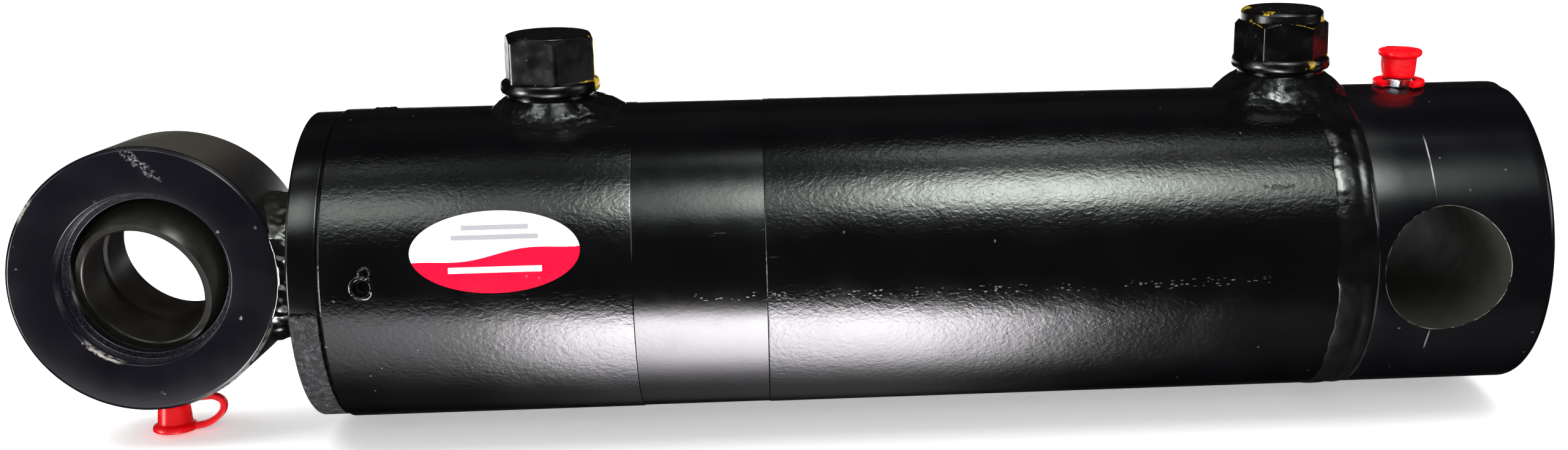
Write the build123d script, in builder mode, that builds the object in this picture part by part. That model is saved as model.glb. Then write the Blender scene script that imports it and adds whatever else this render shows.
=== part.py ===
"""Double-acting hydraulic cylinder with a solid pinned base and a rod eye with a spherical plain bearing.

Frame: origin at the centre of the base pin bore, +X towards the closed base end,
the rod leaves towards -X, both pins lie along Y, the oil ports point to +Z.
All sizes in millimetres. Shown fully retracted.
"""
from build123d import *
from math import cos, sin, radians, sqrt, atan2, degrees, acos
import os

os.makedirs("parts", exist_ok=True)

# ---------------------------------------------------------------- driving dimensions
tube_r = 50.0            # barrel outside radius
bore_r = 40.0            # barrel bore radius
band_r = 49.8            # turned band on the barrel
band_x0, band_x1 = -253.0, -212.0
tube_x0, tube_x1 = -347.0, -28.0

block_r = 49.8           # solid base block
block_x1 = 34.5
block_nose_x = -38.0
pin_r = 20.0             # both pin bores take a 40 mm pin
scribe_x = -3.4

collar_r = 49.3          # visible collar of the gland
collar_x0 = -356.5
gland_x1 = -292.0
rod_r = 22.5
gland_bore_r = 22.8
run = 0.05               # radial running clearance of rings and bearings
stroke = 200.0

spigot_r = 16.0
piston_x0, piston_x1 = -92.0, -56.0
piston_r = 39.7
nut_x1 = -43.5

eye_x = -408.0
eye_r = 42.3
eye_hw = 20.8            # half width of the eye
outer_ring_r = 31.0
outer_ring_hw = 11.0
ball_r = 26.5
inner_ring_hw = 14.0
tilt_x = 16.44           # rest attitude of the inner ring, degrees about X then Z
tilt_z = -10.43

port_xs = {"rod_side": -280.0, "base_side": -41.1}
boss_r = 13.9
boss_tops = {"rod_side": 55.0, "base_side": 57.0}
port_r = 9.3             # thread minor radius of the port
plug_turn = {"rod_side": 43.0, "base_side": 53.7}

screw_x = -333.9
screw_angle0 = 6.1       # first lock screw, degrees above the -Y side

nipple_x = -0.8          # grease nipple on the base block
cap_gap = 3.0            # bare hex left visible under a grease cap


def ring(r_out, r_in, x0, x1):
    """Closed rectangle for a ring around the X axis, given as corner points."""
    return [(x0, r_in), (x1, r_in), (x1, r_out), (x0, r_out)]


# ---------------------------------------------------------------- barrel tube
with BuildPart() as cylinder_tube:
    with BuildSketch(Plane.XY):
        with BuildLine():
            Polyline((tube_x0, bore_r + 0.6), (tube_x0 + 0.6, bore_r), (tube_x1, bore_r),
                     (tube_x1, 44.0), (tube_x1 - 6.0, tube_r),
                     (band_x1, tube_r), (band_x1, band_r), (band_x0, band_r), (band_x0, tube_r),
                     (tube_x0 + 0.8, tube_r), (tube_x0, tube_r - 0.8), close=True)
        make_face()
    revolve(axis=Axis.X, revolution_arc=360)
    # oil ports through the wall
    for px in port_xs.values():
        with BuildSketch(Plane(origin=(px, 0, 30), z_dir=(0, 0, 1))):
            Circle(port_r)
        extrude(amount=30, mode=Mode.SUBTRACT)
    # four radial holes for the gland lock screws
    for k in range(4):
        a = radians(screw_angle0 + 90 * k)
        with BuildSketch(Plane(origin=(screw_x, -30 * cos(a), 30 * sin(a)), z_dir=(0, -cos(a), sin(a)))):
            Circle(2.6)
        extrude(amount=30, mode=Mode.SUBTRACT)
cylinder_tube.part.label = "cylinder_tube"
export_step(cylinder_tube.part, "parts/cylinder_tube.step")

# ---------------------------------------------------------------- base block
with BuildPart() as base_end_block:
    with BuildSketch(Plane.XY):
        with BuildLine():
            Polyline((block_nose_x, 0), (block_nose_x, 36.0), (block_nose_x + 3.0, 39.95), (tube_x1, 39.95),
                     (tube_x1, 44.0), (tube_x1 + 6.0, block_r), (scribe_x - 0.5, block_r),
                     (scribe_x, block_r - 0.35), (scribe_x + 0.5, block_r),
                     (block_x1, block_r), (block_x1, 0), close=True)
        make_face()
    revolve(axis=Axis.X, revolution_arc=360)
    fillet(base_end_block.edges().filter_by(GeomType.CIRCLE).sort_by(Axis.X)[-1], radius=3.4)
    # cross bore for the 40 mm pin
    with BuildSketch(Plane(origin=(0, -60, 0), x_dir=(1, 0, 0), z_dir=(0, 1, 0))):
        Circle(pin_r)
    extrude(amount=120, mode=Mode.SUBTRACT)
    # notch in the nose, so that oil reaches the base-side port
    with BuildSketch(Plane(origin=(block_nose_x - 1, 0, 34), z_dir=(1, 0, 0))):
        Rectangle(19, 14)
    extrude(amount=9.5, mode=Mode.SUBTRACT)
    # tapped hole and drilling for the grease nipple
    with BuildSketch(Plane(origin=(nipple_x, 0, 42), z_dir=(0, 0, 1))):
        Circle(4.0)
    extrude(amount=12, mode=Mode.SUBTRACT)
    with BuildSketch(Plane(origin=(nipple_x, 0, 10), z_dir=(0, 0, 1))):
        Circle(2.0)
    extrude(amount=34, mode=Mode.SUBTRACT)
base_end_block.part.label = "base_end_block"
export_step(base_end_block.part, "parts/base_end_block.step")

# ---------------------------------------------------------------- girth weld between tube and block
with BuildPart() as base_weld_bead:
    # crown of the bead, standing proud of the tube
    with BuildSketch(Plane.XY):
        with BuildLine():
            Polyline((-35.0, tube_r), (tube_x1 - 6.0, tube_r), (tube_x1 + 6.0, block_r), (-21.2, block_r))
            ThreePointArc((-21.2, block_r), (-28.1, 51.3), (-35.0, tube_r))
        make_face()
    revolve(axis=Axis.X, revolution_arc=360)
    # the base-side port boss stands across it
    with BuildSketch(Plane(origin=(port_xs["base_side"], 0, 30), z_dir=(0, 0, 1))):
        Circle(boss_r)
    extrude(amount=30, mode=Mode.SUBTRACT)
    # root of the bead, filling the prepared groove
    with BuildSketch(Plane.XY):
        with BuildLine():
            Polyline((tube_x1 - 6.0, tube_r), (tube_x1, 44.0), (tube_x1 + 6.0, block_r), close=True)
        make_face()
    revolve(axis=Axis.X, revolution_arc=360)
    with BuildSketch(Plane(origin=(port_xs["base_side"], 0, 30), z_dir=(0, 0, 1))):
        Circle(port_r)
    extrude(amount=30, mode=Mode.SUBTRACT)
base_weld_bead.part.label = "base_weld_bead"
export_step(base_weld_bead.part, "parts/base_weld_bead.step")

# ---------------------------------------------------------------- port bosses, their welds and plugs
for side, px in port_xs.items():
    boss_top = boss_tops[side]
    drop = 57.0 - boss_top
    with BuildPart() as boss:
        with BuildSketch(Plane(origin=(px, 0, 40), z_dir=(0, 0, 1))):
            Circle(boss_r)
            Circle(port_r, mode=Mode.SUBTRACT)
        extrude(amount=boss_top - 40)
        with BuildSketch(Plane(origin=(px - 25, 0, 0), z_dir=(1, 0, 0))):
            Circle(tube_r)
        extrude(amount=50, mode=Mode.SUBTRACT)
        chamfer(boss.edges().filter_by(GeomType.CIRCLE).group_by(Axis.Z)[-1], length=0.5)
    boss.part.label = side + "_port_boss"
    export_step(boss.part, "parts/" + side + "_port_boss.step")

    with BuildPart() as weld:
        with BuildSketch(Plane(origin=(px, 0, 0), x_dir=(1, 0, 0), z_dir=(0, -1, 0))):
            with BuildLine():
                Polyline((boss_r, 40.0), (22.4, 40.0), (22.4, 49.6), (20.8, 51.6), (18.4, 53.8 - drop / 2),
                         (15.8, 55.4 - 0.8 * drop), (boss_r, 56.1 - drop), close=True)
            make_face()
        revolve(axis=Axis((px, 0, 0), (0, 0, 1)), revolution_arc=360)
        with BuildSketch(Plane(origin=(px - 30, 0, 0), z_dir=(1, 0, 0))):
            Circle(tube_r)
        extrude(amount=60, mode=Mode.SUBTRACT)
        if side == "base_side":
            # the port weld stops where the girth weld begins
            with BuildSketch(Plane.XY):
                with BuildLine():
                    Polyline((-35.0, 40.0), (-35.0, tube_r))
                    ThreePointArc((-35.0, tube_r), (-28.1, 51.3), (-21.2, block_r))
                    Polyline((-21.2, block_r), (-10.0, block_r), (-10.0, 40.0), (-35.0, 40.0))
                make_face()
            revolve(axis=Axis.X, revolution_arc=360, mode=Mode.SUBTRACT)
    weld.part.label = side + "_port_weld"
    export_step(weld.part, "parts/" + side + "_port_weld.step")

    # plastic transport plug: threaded shank, round flange, hexagon and turned head
    seat = boss_top + 0.3
    top = 76.7 if side == "base_side" else 73.9
    shoulder = 71.4 if side == "base_side" else 71.8
    with BuildPart() as plug:
        with BuildSketch(Plane(origin=(px, 0, 0), x_dir=(1, 0, 0), z_dir=(0, -1, 0))):
            with BuildLine():
                Polyline((0, seat - 14.3), (8.2, seat - 14.3), (8.9, seat - 12.8), (8.9, seat), (15.2, seat))
                ThreePointArc((15.2, seat), (15.9, seat + 1.9), (15.0, seat + 3.8))
                Polyline((15.0, seat + 3.8), (0, seat + 3.8), (0, seat - 14.3))
            make_face()
        revolve(axis=Axis((px, 0, 0), (0, 0, 1)), revolution_arc=360)
        with BuildSketch(Plane(origin=(px, 0, seat + 3.7), z_dir=(0, 0, 1))):
            RegularPolygon(radius=13.5, side_count=6, major_radius=False, rotation=plug_turn[side])
        extrude(amount=top - seat - 3.7)
        # the head is turned down to the width across the flats, with a rounded rim
        with BuildSketch(Plane(origin=(px, 0, 0), x_dir=(1, 0, 0), z_dir=(0, -1, 0))):
            with BuildLine():
                Polyline((16.0, shoulder), (13.45, shoulder + 1.4), (13.3, top - 1.1), (12.8, top - 0.4), (12.0, top),
                         (12.0, top + 3.0), (25.0, top + 3.0), (25.0, shoulder), (16.0, shoulder))
            make_face()
        revolve(axis=Axis((px, 0, 0), (0, 0, 1)), revolution_arc=360, mode=Mode.SUBTRACT)
    plug.part.label = side + "_port_plug"
    export_step(plug.part, "parts/" + side + "_port_plug.step")

# ---------------------------------------------------------------- gland with seal grooves
with BuildPart() as gland:
    with BuildSketch(Plane.XY):
        with BuildLine():
            Polyline((collar_x0, 28.0), (-349.6, 27.6), (-349.6, gland_bore_r), (-343.0, gland_bore_r),
                     (-343.0, 27.5), (-335.0, 27.5), (-335.0, gland_bore_r), (-330.0, gland_bore_r),
                     (-330.0, 25.0), (-318.0, 25.0), (-318.0, gland_bore_r), (-308.0, gland_bore_r),
                     (-308.0, 25.0), (-296.0, 25.0), (-296.0, gland_bore_r), (gland_x1, gland_bore_r),
                     (gland_x1, 38.5), (gland_x1 - 2.0, 39.95), (-312.0, 39.95), (-312.0, 36.4),
                     (-318.5, 36.4), (-318.5, 39.95), (tube_x0, 39.95), (tube_x0, collar_r),
                     (collar_x0 + 0.8, collar_r), (collar_x0, collar_r - 0.8), close=True)
        make_face()
    revolve(axis=Axis.X, revolution_arc=360)
    # seats of the lock screws
    for k in range(4):
        a = radians(screw_angle0 + 90 * k)
        with BuildSketch(Plane(origin=(screw_x, -33 * cos(a), 33 * sin(a)), z_dir=(0, -cos(a), sin(a)))):
            Circle(2.6)
        extrude(amount=12, mode=Mode.SUBTRACT)
gland.part.label = "gland"
export_step(gland.part, "parts/gland.step")

with BuildPart() as gland_lock_screws:
    for k in range(4):
        a = radians(screw_angle0 + 90 * k)
        with BuildSketch(Plane(origin=(screw_x, -33 * cos(a), 33 * sin(a)), z_dir=(0, -cos(a), sin(a)))):
            Circle(2.55)
        extrude(amount=13.2)
        with BuildSketch(Plane(origin=(screw_x, -43.2 * cos(a), 43.2 * sin(a)), z_dir=(0, -cos(a), sin(a)))):
            RegularPolygon(radius=1.5, side_count=6, major_radius=False)
        extrude(amount=4, mode=Mode.SUBTRACT)
gland_lock_screws.part.label = "gland_lock_screws"
export_step(gland_lock_screws.part, "parts/gland_lock_screws.step")

# ---------------------------------------------------------------- seals and guide rings of the gland
with BuildPart() as rod_wiper:
    with BuildSketch(Plane.XY):
        with BuildLine():
            Polyline((-356.2, 23.4), (-357.4, rod_r + run + 0.15), (-356.6, rod_r + run), (-354.8, 23.3),
                     (-352.4, 23.3), (-351.6, rod_r + run), (-349.7, rod_r + run), (-349.7, 27.5),
                     (-355.9, 27.5), (-356.2, 26.0), close=True)
        make_face()
    revolve(axis=Axis.X, revolution_arc=360)
rod_wiper.part.label = "rod_wiper"
export_step(rod_wiper.part, "parts/rod_wiper.step")

with BuildPart() as rod_seal:
    with BuildSketch(Plane.XY):
        with BuildLine():
            Polyline((-342.9, 22.9), (-342.9, 27.2), (-335.4, 27.45), (-335.2, 26.4), (-337.6, 25.0),
                     (-335.2, 23.6), (-335.4, rod_r + run), (-338.5, 22.9), close=True)
        make_face()
    revolve(axis=Axis.X, revolution_arc=360)
rod_seal.part.label = "rod_seal"
export_step(rod_seal.part, "parts/rod_seal.step")

with BuildPart() as rod_guide_rings:
    for gx0, gx1 in ((-329.9, -318.1), (-307.9, -296.1)):
        with BuildSketch(Plane.XY):
            with BuildLine():
                Polyline(*ring(24.95, rod_r + run, gx0, gx1), close=True)
            make_face()
        revolve(axis=Axis.X, revolution_arc=360)
rod_guide_rings.part.label = "rod_guide_rings"
export_step(rod_guide_rings.part, "parts/rod_guide_rings.step")

with BuildPart() as gland_o_ring:
    with BuildSketch(Plane.XY):
        with Locations((-313.9, 38.2)):
            Circle(1.72)
    revolve(axis=Axis.X, revolution_arc=360)
gland_o_ring.part.label = "gland_o_ring"
export_step(gland_o_ring.part, "parts/gland_o_ring.step")

with BuildPart() as gland_backup_ring:
    with BuildSketch(Plane.XY):
        with BuildLine():
            Polyline(*ring(39.9, 36.5, -318.4, -316.0), close=True)
        make_face()
    revolve(axis=Axis.X, revolution_arc=360)
gland_backup_ring.part.label = "gland_backup_ring"
export_step(gland_backup_ring.part, "parts/gland_backup_ring.step")

# ---------------------------------------------------------------- oval identification label, left blank of any mark
label_x, label_angle = -293.8, 17.5
la = radians(label_angle)
with BuildPart() as oval_label:
    with BuildSketch(Plane(origin=(label_x, -40 * cos(la), 40 * sin(la)), x_dir=(1, 0, 0),
                           z_dir=(0, -cos(la), sin(la)))):
        Ellipse(25.6, 12.6)
    extrude(amount=15)
    with BuildSketch(Plane(origin=(label_x - 30, 0, 0), z_dir=(1, 0, 0))):
        Circle(tube_r + 0.16)
    extrude(amount=60, mode=Mode.INTERSECT)
    with BuildSketch(Plane(origin=(label_x - 30, 0, 0), z_dir=(1, 0, 0))):
        Circle(tube_r)
    extrude(amount=60, mode=Mode.SUBTRACT)
oval_label.part.label = "oval_label"
export_step(oval_label.part, "parts/oval_label.step")

# ---------------------------------------------------------------- piston rod, piston, rings and nut
with BuildPart() as piston_rod:
    with BuildSketch(Plane.XY):
        with BuildLine():
            Polyline((-365.4, 0), (-365.4, 17.0), (-359.9, rod_r), (-94.0, rod_r), (-92.0, 21.5),
                     (-92.0, spigot_r), (-43.0, spigot_r), (-41.5, 14.5), (-41.5, 0), close=True)
        make_face()
    revolve(axis=Axis.X, revolution_arc=360)
piston_rod.part.label = "piston_rod"
export_step(piston_rod.part, "parts/piston_rod.step")

with BuildPart() as piston:
    with BuildSketch(Plane.XY):
        with BuildLine():
            Polyline((piston_x0, spigot_r), (-72.0, spigot_r), (-72.0, 18.2), (-69.0, 18.2), (-69.0, spigot_r),
                     (piston_x1, spigot_r), (piston_x1, 38.7), (piston_x1 - 1.0, piston_r), (-58.0, piston_r),
                     (-58.0, 37.2), (-65.0, 37.2), (-65.0, piston_r), (-68.0, piston_r), (-68.0, 35.0),
                     (-78.0, 35.0), (-78.0, piston_r), (-81.0, piston_r), (-81.0, 37.2), (-89.0, 37.2),
                     (-89.0, piston_r), (piston_x0 + 1.0, piston_r), (piston_x0, 38.7), close=True)
        make_face()
    revolve(axis=Axis.X, revolution_arc=360)
piston.part.label = "piston"
export_step(piston.part, "parts/piston.step")

with BuildPart() as piston_o_ring:
    with BuildSketch(Plane.XY):
        with Locations((-70.5, 17.1)):
            Circle(1.08)
    revolve(axis=Axis.X, revolution_arc=360)
piston_o_ring.part.label = "piston_o_ring"
export_step(piston_o_ring.part, "parts/piston_o_ring.step")

with BuildPart() as piston_nut:
    with BuildSketch(Plane(origin=(piston_x1, 0, 0), z_dir=(1, 0, 0))):
        RegularPolygon(radius=23.0, side_count=6, major_radius=False)
        Circle(spigot_r, mode=Mode.SUBTRACT)
    extrude(amount=nut_x1 - piston_x1)
piston_nut.part.label = "piston_nut"
export_step(piston_nut.part, "parts/piston_nut.step")

with BuildPart() as piston_seal:
    with BuildSketch(Plane.XY):
        with BuildLine():
            Polyline(*ring(39.95, 35.05, -77.95, -68.05), close=True)
        make_face()
    revolve(axis=Axis.X, revolution_arc=360)
piston_seal.part.label = "piston_seal"
export_step(piston_seal.part, "parts/piston_seal.step")

for name, gx0, gx1 in (("piston_guide_ring_front", -88.95, -81.05), ("piston_guide_ring_rear", -64.95, -58.05)):
    with BuildPart() as guide:
        with BuildSketch(Plane.XY):
            with BuildLine():
                Polyline(*ring(39.95, 37.25, gx0, gx1), close=True)
            make_face()
        revolve(axis=Axis.X, revolution_arc=360)
    guide.part.label = name
    export_step(guide.part, "parts/" + name + ".step")

# ---------------------------------------------------------------- rod eye
eye_axis = Axis((eye_x, 0, 0), (0, 1, 0))
# the rod can turn in the barrel, and it stands a little turned from the base's cross bore
rod_turn = -4.64


def turned(shape, label):
    """A piece of the rod end, turned with the rod about the cylinder's axis."""
    out = shape.rotate(Axis.X, rod_turn)
    out.label = label
    return out


with BuildPart() as rod_eye:
    # half section in the XY plane: radius measured from the eye's axis along X, width along Y
    with BuildSketch(Plane(origin=(eye_x, 0, 0), x_dir=(1, 0, 0), z_dir=(0, 0, 1))):
        with BuildLine():
            Polyline((27.5, -eye_hw), (27.0, -14.4), (24.8, -14.4), (24.8, -outer_ring_hw), (outer_ring_r, -outer_ring_hw),
                     (outer_ring_r, outer_ring_hw), (33.0, outer_ring_hw), (33.0, outer_ring_hw + 2.1),
                     (outer_ring_r, outer_ring_hw + 2.1), (outer_ring_r, eye_hw - 1.0),
                     (outer_ring_r + 1.0, eye_hw), (eye_r - 1.0, eye_hw), (eye_r, eye_hw - 1.0),
                     (eye_r, -eye_hw + 1.0), (eye_r - 1.0, -eye_hw), close=True)
        make_face()
    revolve(axis=eye_axis, revolution_arc=360)
    # tapped hole for the grease nipple, pointing down
    with BuildSketch(Plane(origin=(eye_x, 0, -28), z_dir=(0, 0, -1))):
        Circle(2.0)
    extrude(amount=8, mode=Mode.SUBTRACT)
    with BuildSketch(Plane(origin=(eye_x, 0, -35), z_dir=(0, 0, -1))):
        Circle(4.0)
    extrude(amount=12, mode=Mode.SUBTRACT)
export_step(turned(rod_eye.part, "rod_eye"), "parts/rod_eye.step")

with BuildPart() as rod_eye_weld:
    with BuildSketch(Plane.XY):
        with BuildLine():
            Polyline((-380.0, 0), (-380.0, 27.2), (-372.0, 25.8), (-365.0, 24.4), (-360.5, 23.4),
                     (-358.6, 22.5), (-358.6, 0), close=True)
        make_face()
    revolve(axis=Axis.X, revolution_arc=360)
    # the bead does not spread over the eye's flat faces
    with BuildSketch(Plane(origin=(-370, 0, -40), z_dir=(0, 0, 1))):
        with BuildLine():
            Polyline((-12, -20.9), (4.6, -21.0), (6.5, -22.2), (12, -26), (12, 26), (6.5, 22.2),
                     (4.6, 21.0), (-12, 20.9), close=True)
        make_face()
    extrude(amount=80, mode=Mode.INTERSECT)
    # room for the eye
    with BuildSketch(Plane(origin=(eye_x, -30, 0), x_dir=(1, 0, 0), z_dir=(0, 1, 0))):
        Circle(eye_r)
    extrude(amount=60, mode=Mode.SUBTRACT)
    # room for the prepared rod end
    with BuildSketch(Plane.XY):
        with BuildLine():
            Polyline((-365.4, 0), (-365.4, 17.0), (-359.9, rod_r), (-350.0, rod_r), (-350.0, 0), close=True)
        make_face()
    revolve(axis=Axis.X, revolution_arc=360, mode=Mode.SUBTRACT)
export_step(turned(rod_eye_weld.part, "rod_eye_weld"), "parts/rod_eye_weld.step")

# ---------------------------------------------------------------- spherical plain bearing
with BuildPart() as bearing_outer_ring:
    with BuildSketch(Plane(origin=(eye_x, 0, 0), x_dir=(1, 0, 0), z_dir=(0, 0, 1))):
        with BuildLine():
            # both mouths are relieved, so that the pin clears them when the ball ring is tilted
            mouth, land = 26.0, 8.6
            seat_r = sqrt(ball_r ** 2 - land ** 2)
            Polyline((seat_r, -land), (mouth, -outer_ring_hw), (outer_ring_r - 0.8, -outer_ring_hw), (outer_ring_r, -outer_ring_hw + 0.8),
                     (outer_ring_r, -1.6), (outer_ring_r - 1.0, -1.6), (outer_ring_r - 1.0, 1.6), (outer_ring_r, 1.6),
                     (outer_ring_r, outer_ring_hw - 0.8), (outer_ring_r - 0.8, outer_ring_hw), (mouth, outer_ring_hw), (seat_r, land))
            ThreePointArc((seat_r, land), (ball_r, 0), (seat_r, -land))
        make_face()
    revolve(axis=eye_axis, revolution_arc=360)
    with BuildSketch(Plane(origin=(eye_x, 0, -20), z_dir=(0, 0, -1))):
        Circle(1.5)
    extrude(amount=15, mode=Mode.SUBTRACT)
export_step(turned(bearing_outer_ring.part, "bearing_outer_ring"), "parts/bearing_outer_ring.step")

with BuildPart() as bearing_retaining_ring:
    with BuildSketch(Plane(origin=(eye_x, outer_ring_hw + 0.02, 0), x_dir=(1, 0, 0), z_dir=(0, 1, 0))):
        Circle(32.8)
        Circle(28.4, mode=Mode.SUBTRACT)
        with Locations((0, 33)):
            Rectangle(9, 14, mode=Mode.SUBTRACT)
        with Locations((7.2, 27.6), (-7.2, 27.6)):
            Circle(3.0)
        with Locations((7.2, 27.6), (-7.2, 27.6)):
            Circle(1.2, mode=Mode.SUBTRACT)
    extrude(amount=2.0)
export_step(turned(bearing_retaining_ring.part, "bearing_retaining_ring"), "parts/bearing_retaining_ring.step")

# inner ring, resting tilted in its ball joint
tx, tz = radians(tilt_x), radians(tilt_z)
ring_dir = Vector(-cos(tx) * sin(tz), cos(tx) * cos(tz), sin(tx))
ring_perp = Vector(0, 1, 0).cross(ring_dir).normalized()
ball_in = ball_r - run
with BuildPart() as bearing_inner_ring:
    with BuildSketch(Plane(origin=(eye_x, 0, 0), x_dir=ring_perp, z_dir=ring_perp.cross(ring_dir))):
        with BuildLine():
            rim = sqrt(ball_in ** 2 - inner_ring_hw ** 2)
            Polyline((rim, -inner_ring_hw), (pin_r + 0.5, -inner_ring_hw), (pin_r, -inner_ring_hw + 0.5), (pin_r, -2.0),
                     (pin_r + 1.2, -1.6), (pin_r + 1.2, 1.6), (pin_r, 2.0),
                     (pin_r, inner_ring_hw - 0.5), (pin_r + 0.5, inner_ring_hw), (rim, inner_ring_hw))
            ThreePointArc((rim, inner_ring_hw), (ball_in, 0), (rim, -inner_ring_hw))
        make_face()
    revolve(axis=Axis((eye_x, 0, 0), ring_dir), revolution_arc=360)
    # oil hole through the ring
    hole_dir = ring_dir.cross(Vector(1, 0, 0)).normalized()
    with BuildSketch(Plane(origin=(eye_x, 0, 0), z_dir=hole_dir)):
        Circle(1.5)
    extrude(amount=30, mode=Mode.SUBTRACT)
export_step(turned(bearing_inner_ring.part, "bearing_inner_ring"), "parts/bearing_inner_ring.step")


# ---------------------------------------------------------------- grease nipples, caps, clips and straps
def nipple_profile(s):
    """Half section of a ball-head grease nipple; s is the height of the surface it is screwed into."""
    return [(0, s - 6.5), (3.4, s - 6.5), (3.95, s - 5.9), (3.95, s), (3.95, s + 0.4), (3.0, s + 3.6),
            (2.4, s + 4.8), (2.1, s + 6.0), (3.0, s + 7.0), (3.25, s + 8.0), (2.6, s + 9.2), (1.2, s + 9.8), (0, s + 9.8)]


def cap_profile(s):
    """Half section of a thimble-shaped plastic cap with a dished flange at its closed end."""
    return [(3.75, s), (4.85, s), (5.05, s + 0.8), (5.5, s + 6.9), (6.4, s + 7.0), (7.05, s + 7.6), (7.15, s + 8.6),
            (6.7, s + 9.2), (5.6, s + 9.0), (4.6, s + 8.3), (0, s + 8.1), (0, s + 7.3), (3.0, s + 7.3), (3.75, s + 6.0)]


nipples = {
    "base": (nipple_x, block_r, 1),
    "eye": (eye_x, eye_r, -1),
}
# how far each nipple's hexagon and each clip's opening are turned about the nipple's axis
nipple_turn = {"base": 14.5, "eye": 26.0}
clip_turn = {"base": -21.0, "eye": 0.0}
# the base nipple points up, the eye nipple points down
for where, (x_here, surf, up) in nipples.items():
    axis_here = Axis((x_here, 0, 0), (0, 0, 1))
    prof_plane = Plane(origin=(x_here, 0, 0), x_dir=(1, 0, 0), z_dir=(0, -1 * up, 0))
    up_plane = (0, 0, up)
    with BuildPart() as nipple:
        with BuildSketch(prof_plane):
            with BuildLine():
                Polyline(*nipple_profile(surf), close=True)
            make_face()
        revolve(axis=axis_here, revolution_arc=360)
        with BuildSketch(Plane(origin=(x_here, 0, up * surf), x_dir=(1, 0, 0), z_dir=up_plane)):
            RegularPolygon(radius=4.5, side_count=6, major_radius=False, rotation=nipple_turn[where])
        extrude(amount=cap_gap - 0.3)
    nipple.part.label = where + "_grease_nipple"
    if where == "eye":
        export_step(turned(nipple.part, "eye_grease_nipple"), "parts/eye_grease_nipple.step")
    else:
        export_step(nipple.part, "parts/base_grease_nipple.step")

    with BuildPart() as cap:
        with BuildSketch(prof_plane):
            with BuildLine():
                Polyline(*cap_profile(surf + cap_gap), close=True)
            make_face()
        revolve(axis=axis_here, revolution_arc=360)
    cap.part.label = where + "_grease_cap"
    if where == "eye":
        export_step(turned(cap.part, "eye_grease_cap"), "parts/eye_grease_cap.step")
    else:
        export_step(cap.part, "parts/base_grease_cap.step")

    # open clip that holds the cap's strap, snapped around the nipple's hexagon
    with BuildPart() as clip:
        with BuildSketch(Plane(origin=(x_here, 0, up * (surf + 0.25)), x_dir=(1, 0, 0), z_dir=up_plane)):
            Circle(8.4)
            Circle(5.35, mode=Mode.SUBTRACT)
            turn = radians(clip_turn[where])
            with Locations((7 * sin(turn), -7 * cos(turn) * up)):
                Rectangle(8.4, 9, rotation=clip_turn[where], mode=Mode.SUBTRACT)
        extrude(amount=2.0)
    clip.part.label = where + "_cap_clip"
    if where == "eye":
        export_step(turned(clip.part, "eye_cap_clip"), "parts/eye_cap_clip.step")
    else:
        export_step(clip.part, "parts/base_cap_clip.step")

# strap of the base cap, behind the nipple: from the clip up to the cap's flange
with BuildPart() as base_cap_strap:
    with BuildSketch(Plane(origin=(nipple_x, 0, block_r), x_dir=(0, 1, 0), z_dir=(1, 0, 0))) as base_loop:
        with BuildLine():
            Spline((8.62, 1.35), (11.8, 2.2), (13.6, 5.4), (12.6, 9.2), (10.2, 10.8), (7.4, 11.1))
        trace(line_width=1.7)
    extrude(amount=1.5, both=True)
base_cap_strap.part.label = "base_cap_strap"
export_step(base_cap_strap.part, "parts/base_cap_strap.step")

# strap of the eye cap, looping out on the rod side
with BuildPart() as eye_cap_strap:
    with BuildSketch(Plane(origin=(eye_x, 0, -eye_r), x_dir=(1, 0, 0), z_dir=(0, -1, 0))):
        with BuildLine():
            Spline((8.62, -1.4), (12.4, -1.3), (15.9, -2.4), (15.9, -6.0), (13.0, -9.0), (10.2, -10.4), (7.4, -11.0))
        trace(line_width=2.0)
    extrude(amount=1.5, both=True)
export_step(turned(eye_cap_strap.part, "eye_cap_strap"), "parts/eye_cap_strap.step")

print("distance between pin centres", -eye_x)
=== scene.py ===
import bpy, bmesh, math
import numpy as np
from mathutils import Vector, Matrix


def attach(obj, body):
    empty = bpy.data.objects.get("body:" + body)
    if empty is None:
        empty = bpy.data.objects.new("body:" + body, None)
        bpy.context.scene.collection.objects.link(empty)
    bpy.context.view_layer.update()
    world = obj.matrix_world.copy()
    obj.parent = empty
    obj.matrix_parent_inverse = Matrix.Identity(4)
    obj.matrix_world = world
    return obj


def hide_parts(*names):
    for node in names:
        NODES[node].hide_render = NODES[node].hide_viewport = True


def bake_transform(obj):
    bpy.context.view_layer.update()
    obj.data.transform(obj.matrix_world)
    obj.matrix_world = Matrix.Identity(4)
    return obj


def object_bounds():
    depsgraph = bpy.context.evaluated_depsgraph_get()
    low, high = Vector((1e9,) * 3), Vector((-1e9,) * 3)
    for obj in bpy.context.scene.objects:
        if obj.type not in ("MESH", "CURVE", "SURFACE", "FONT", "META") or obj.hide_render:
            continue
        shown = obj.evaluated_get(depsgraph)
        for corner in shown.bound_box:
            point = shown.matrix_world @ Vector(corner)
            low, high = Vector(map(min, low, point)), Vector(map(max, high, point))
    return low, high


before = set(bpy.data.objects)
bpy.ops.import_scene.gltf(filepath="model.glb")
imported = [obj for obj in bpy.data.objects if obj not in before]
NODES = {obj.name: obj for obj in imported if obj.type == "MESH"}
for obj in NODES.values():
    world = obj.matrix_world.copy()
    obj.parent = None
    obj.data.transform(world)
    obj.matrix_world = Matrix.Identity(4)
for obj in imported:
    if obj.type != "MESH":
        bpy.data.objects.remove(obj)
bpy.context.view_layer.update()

MM = 0.001

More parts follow.
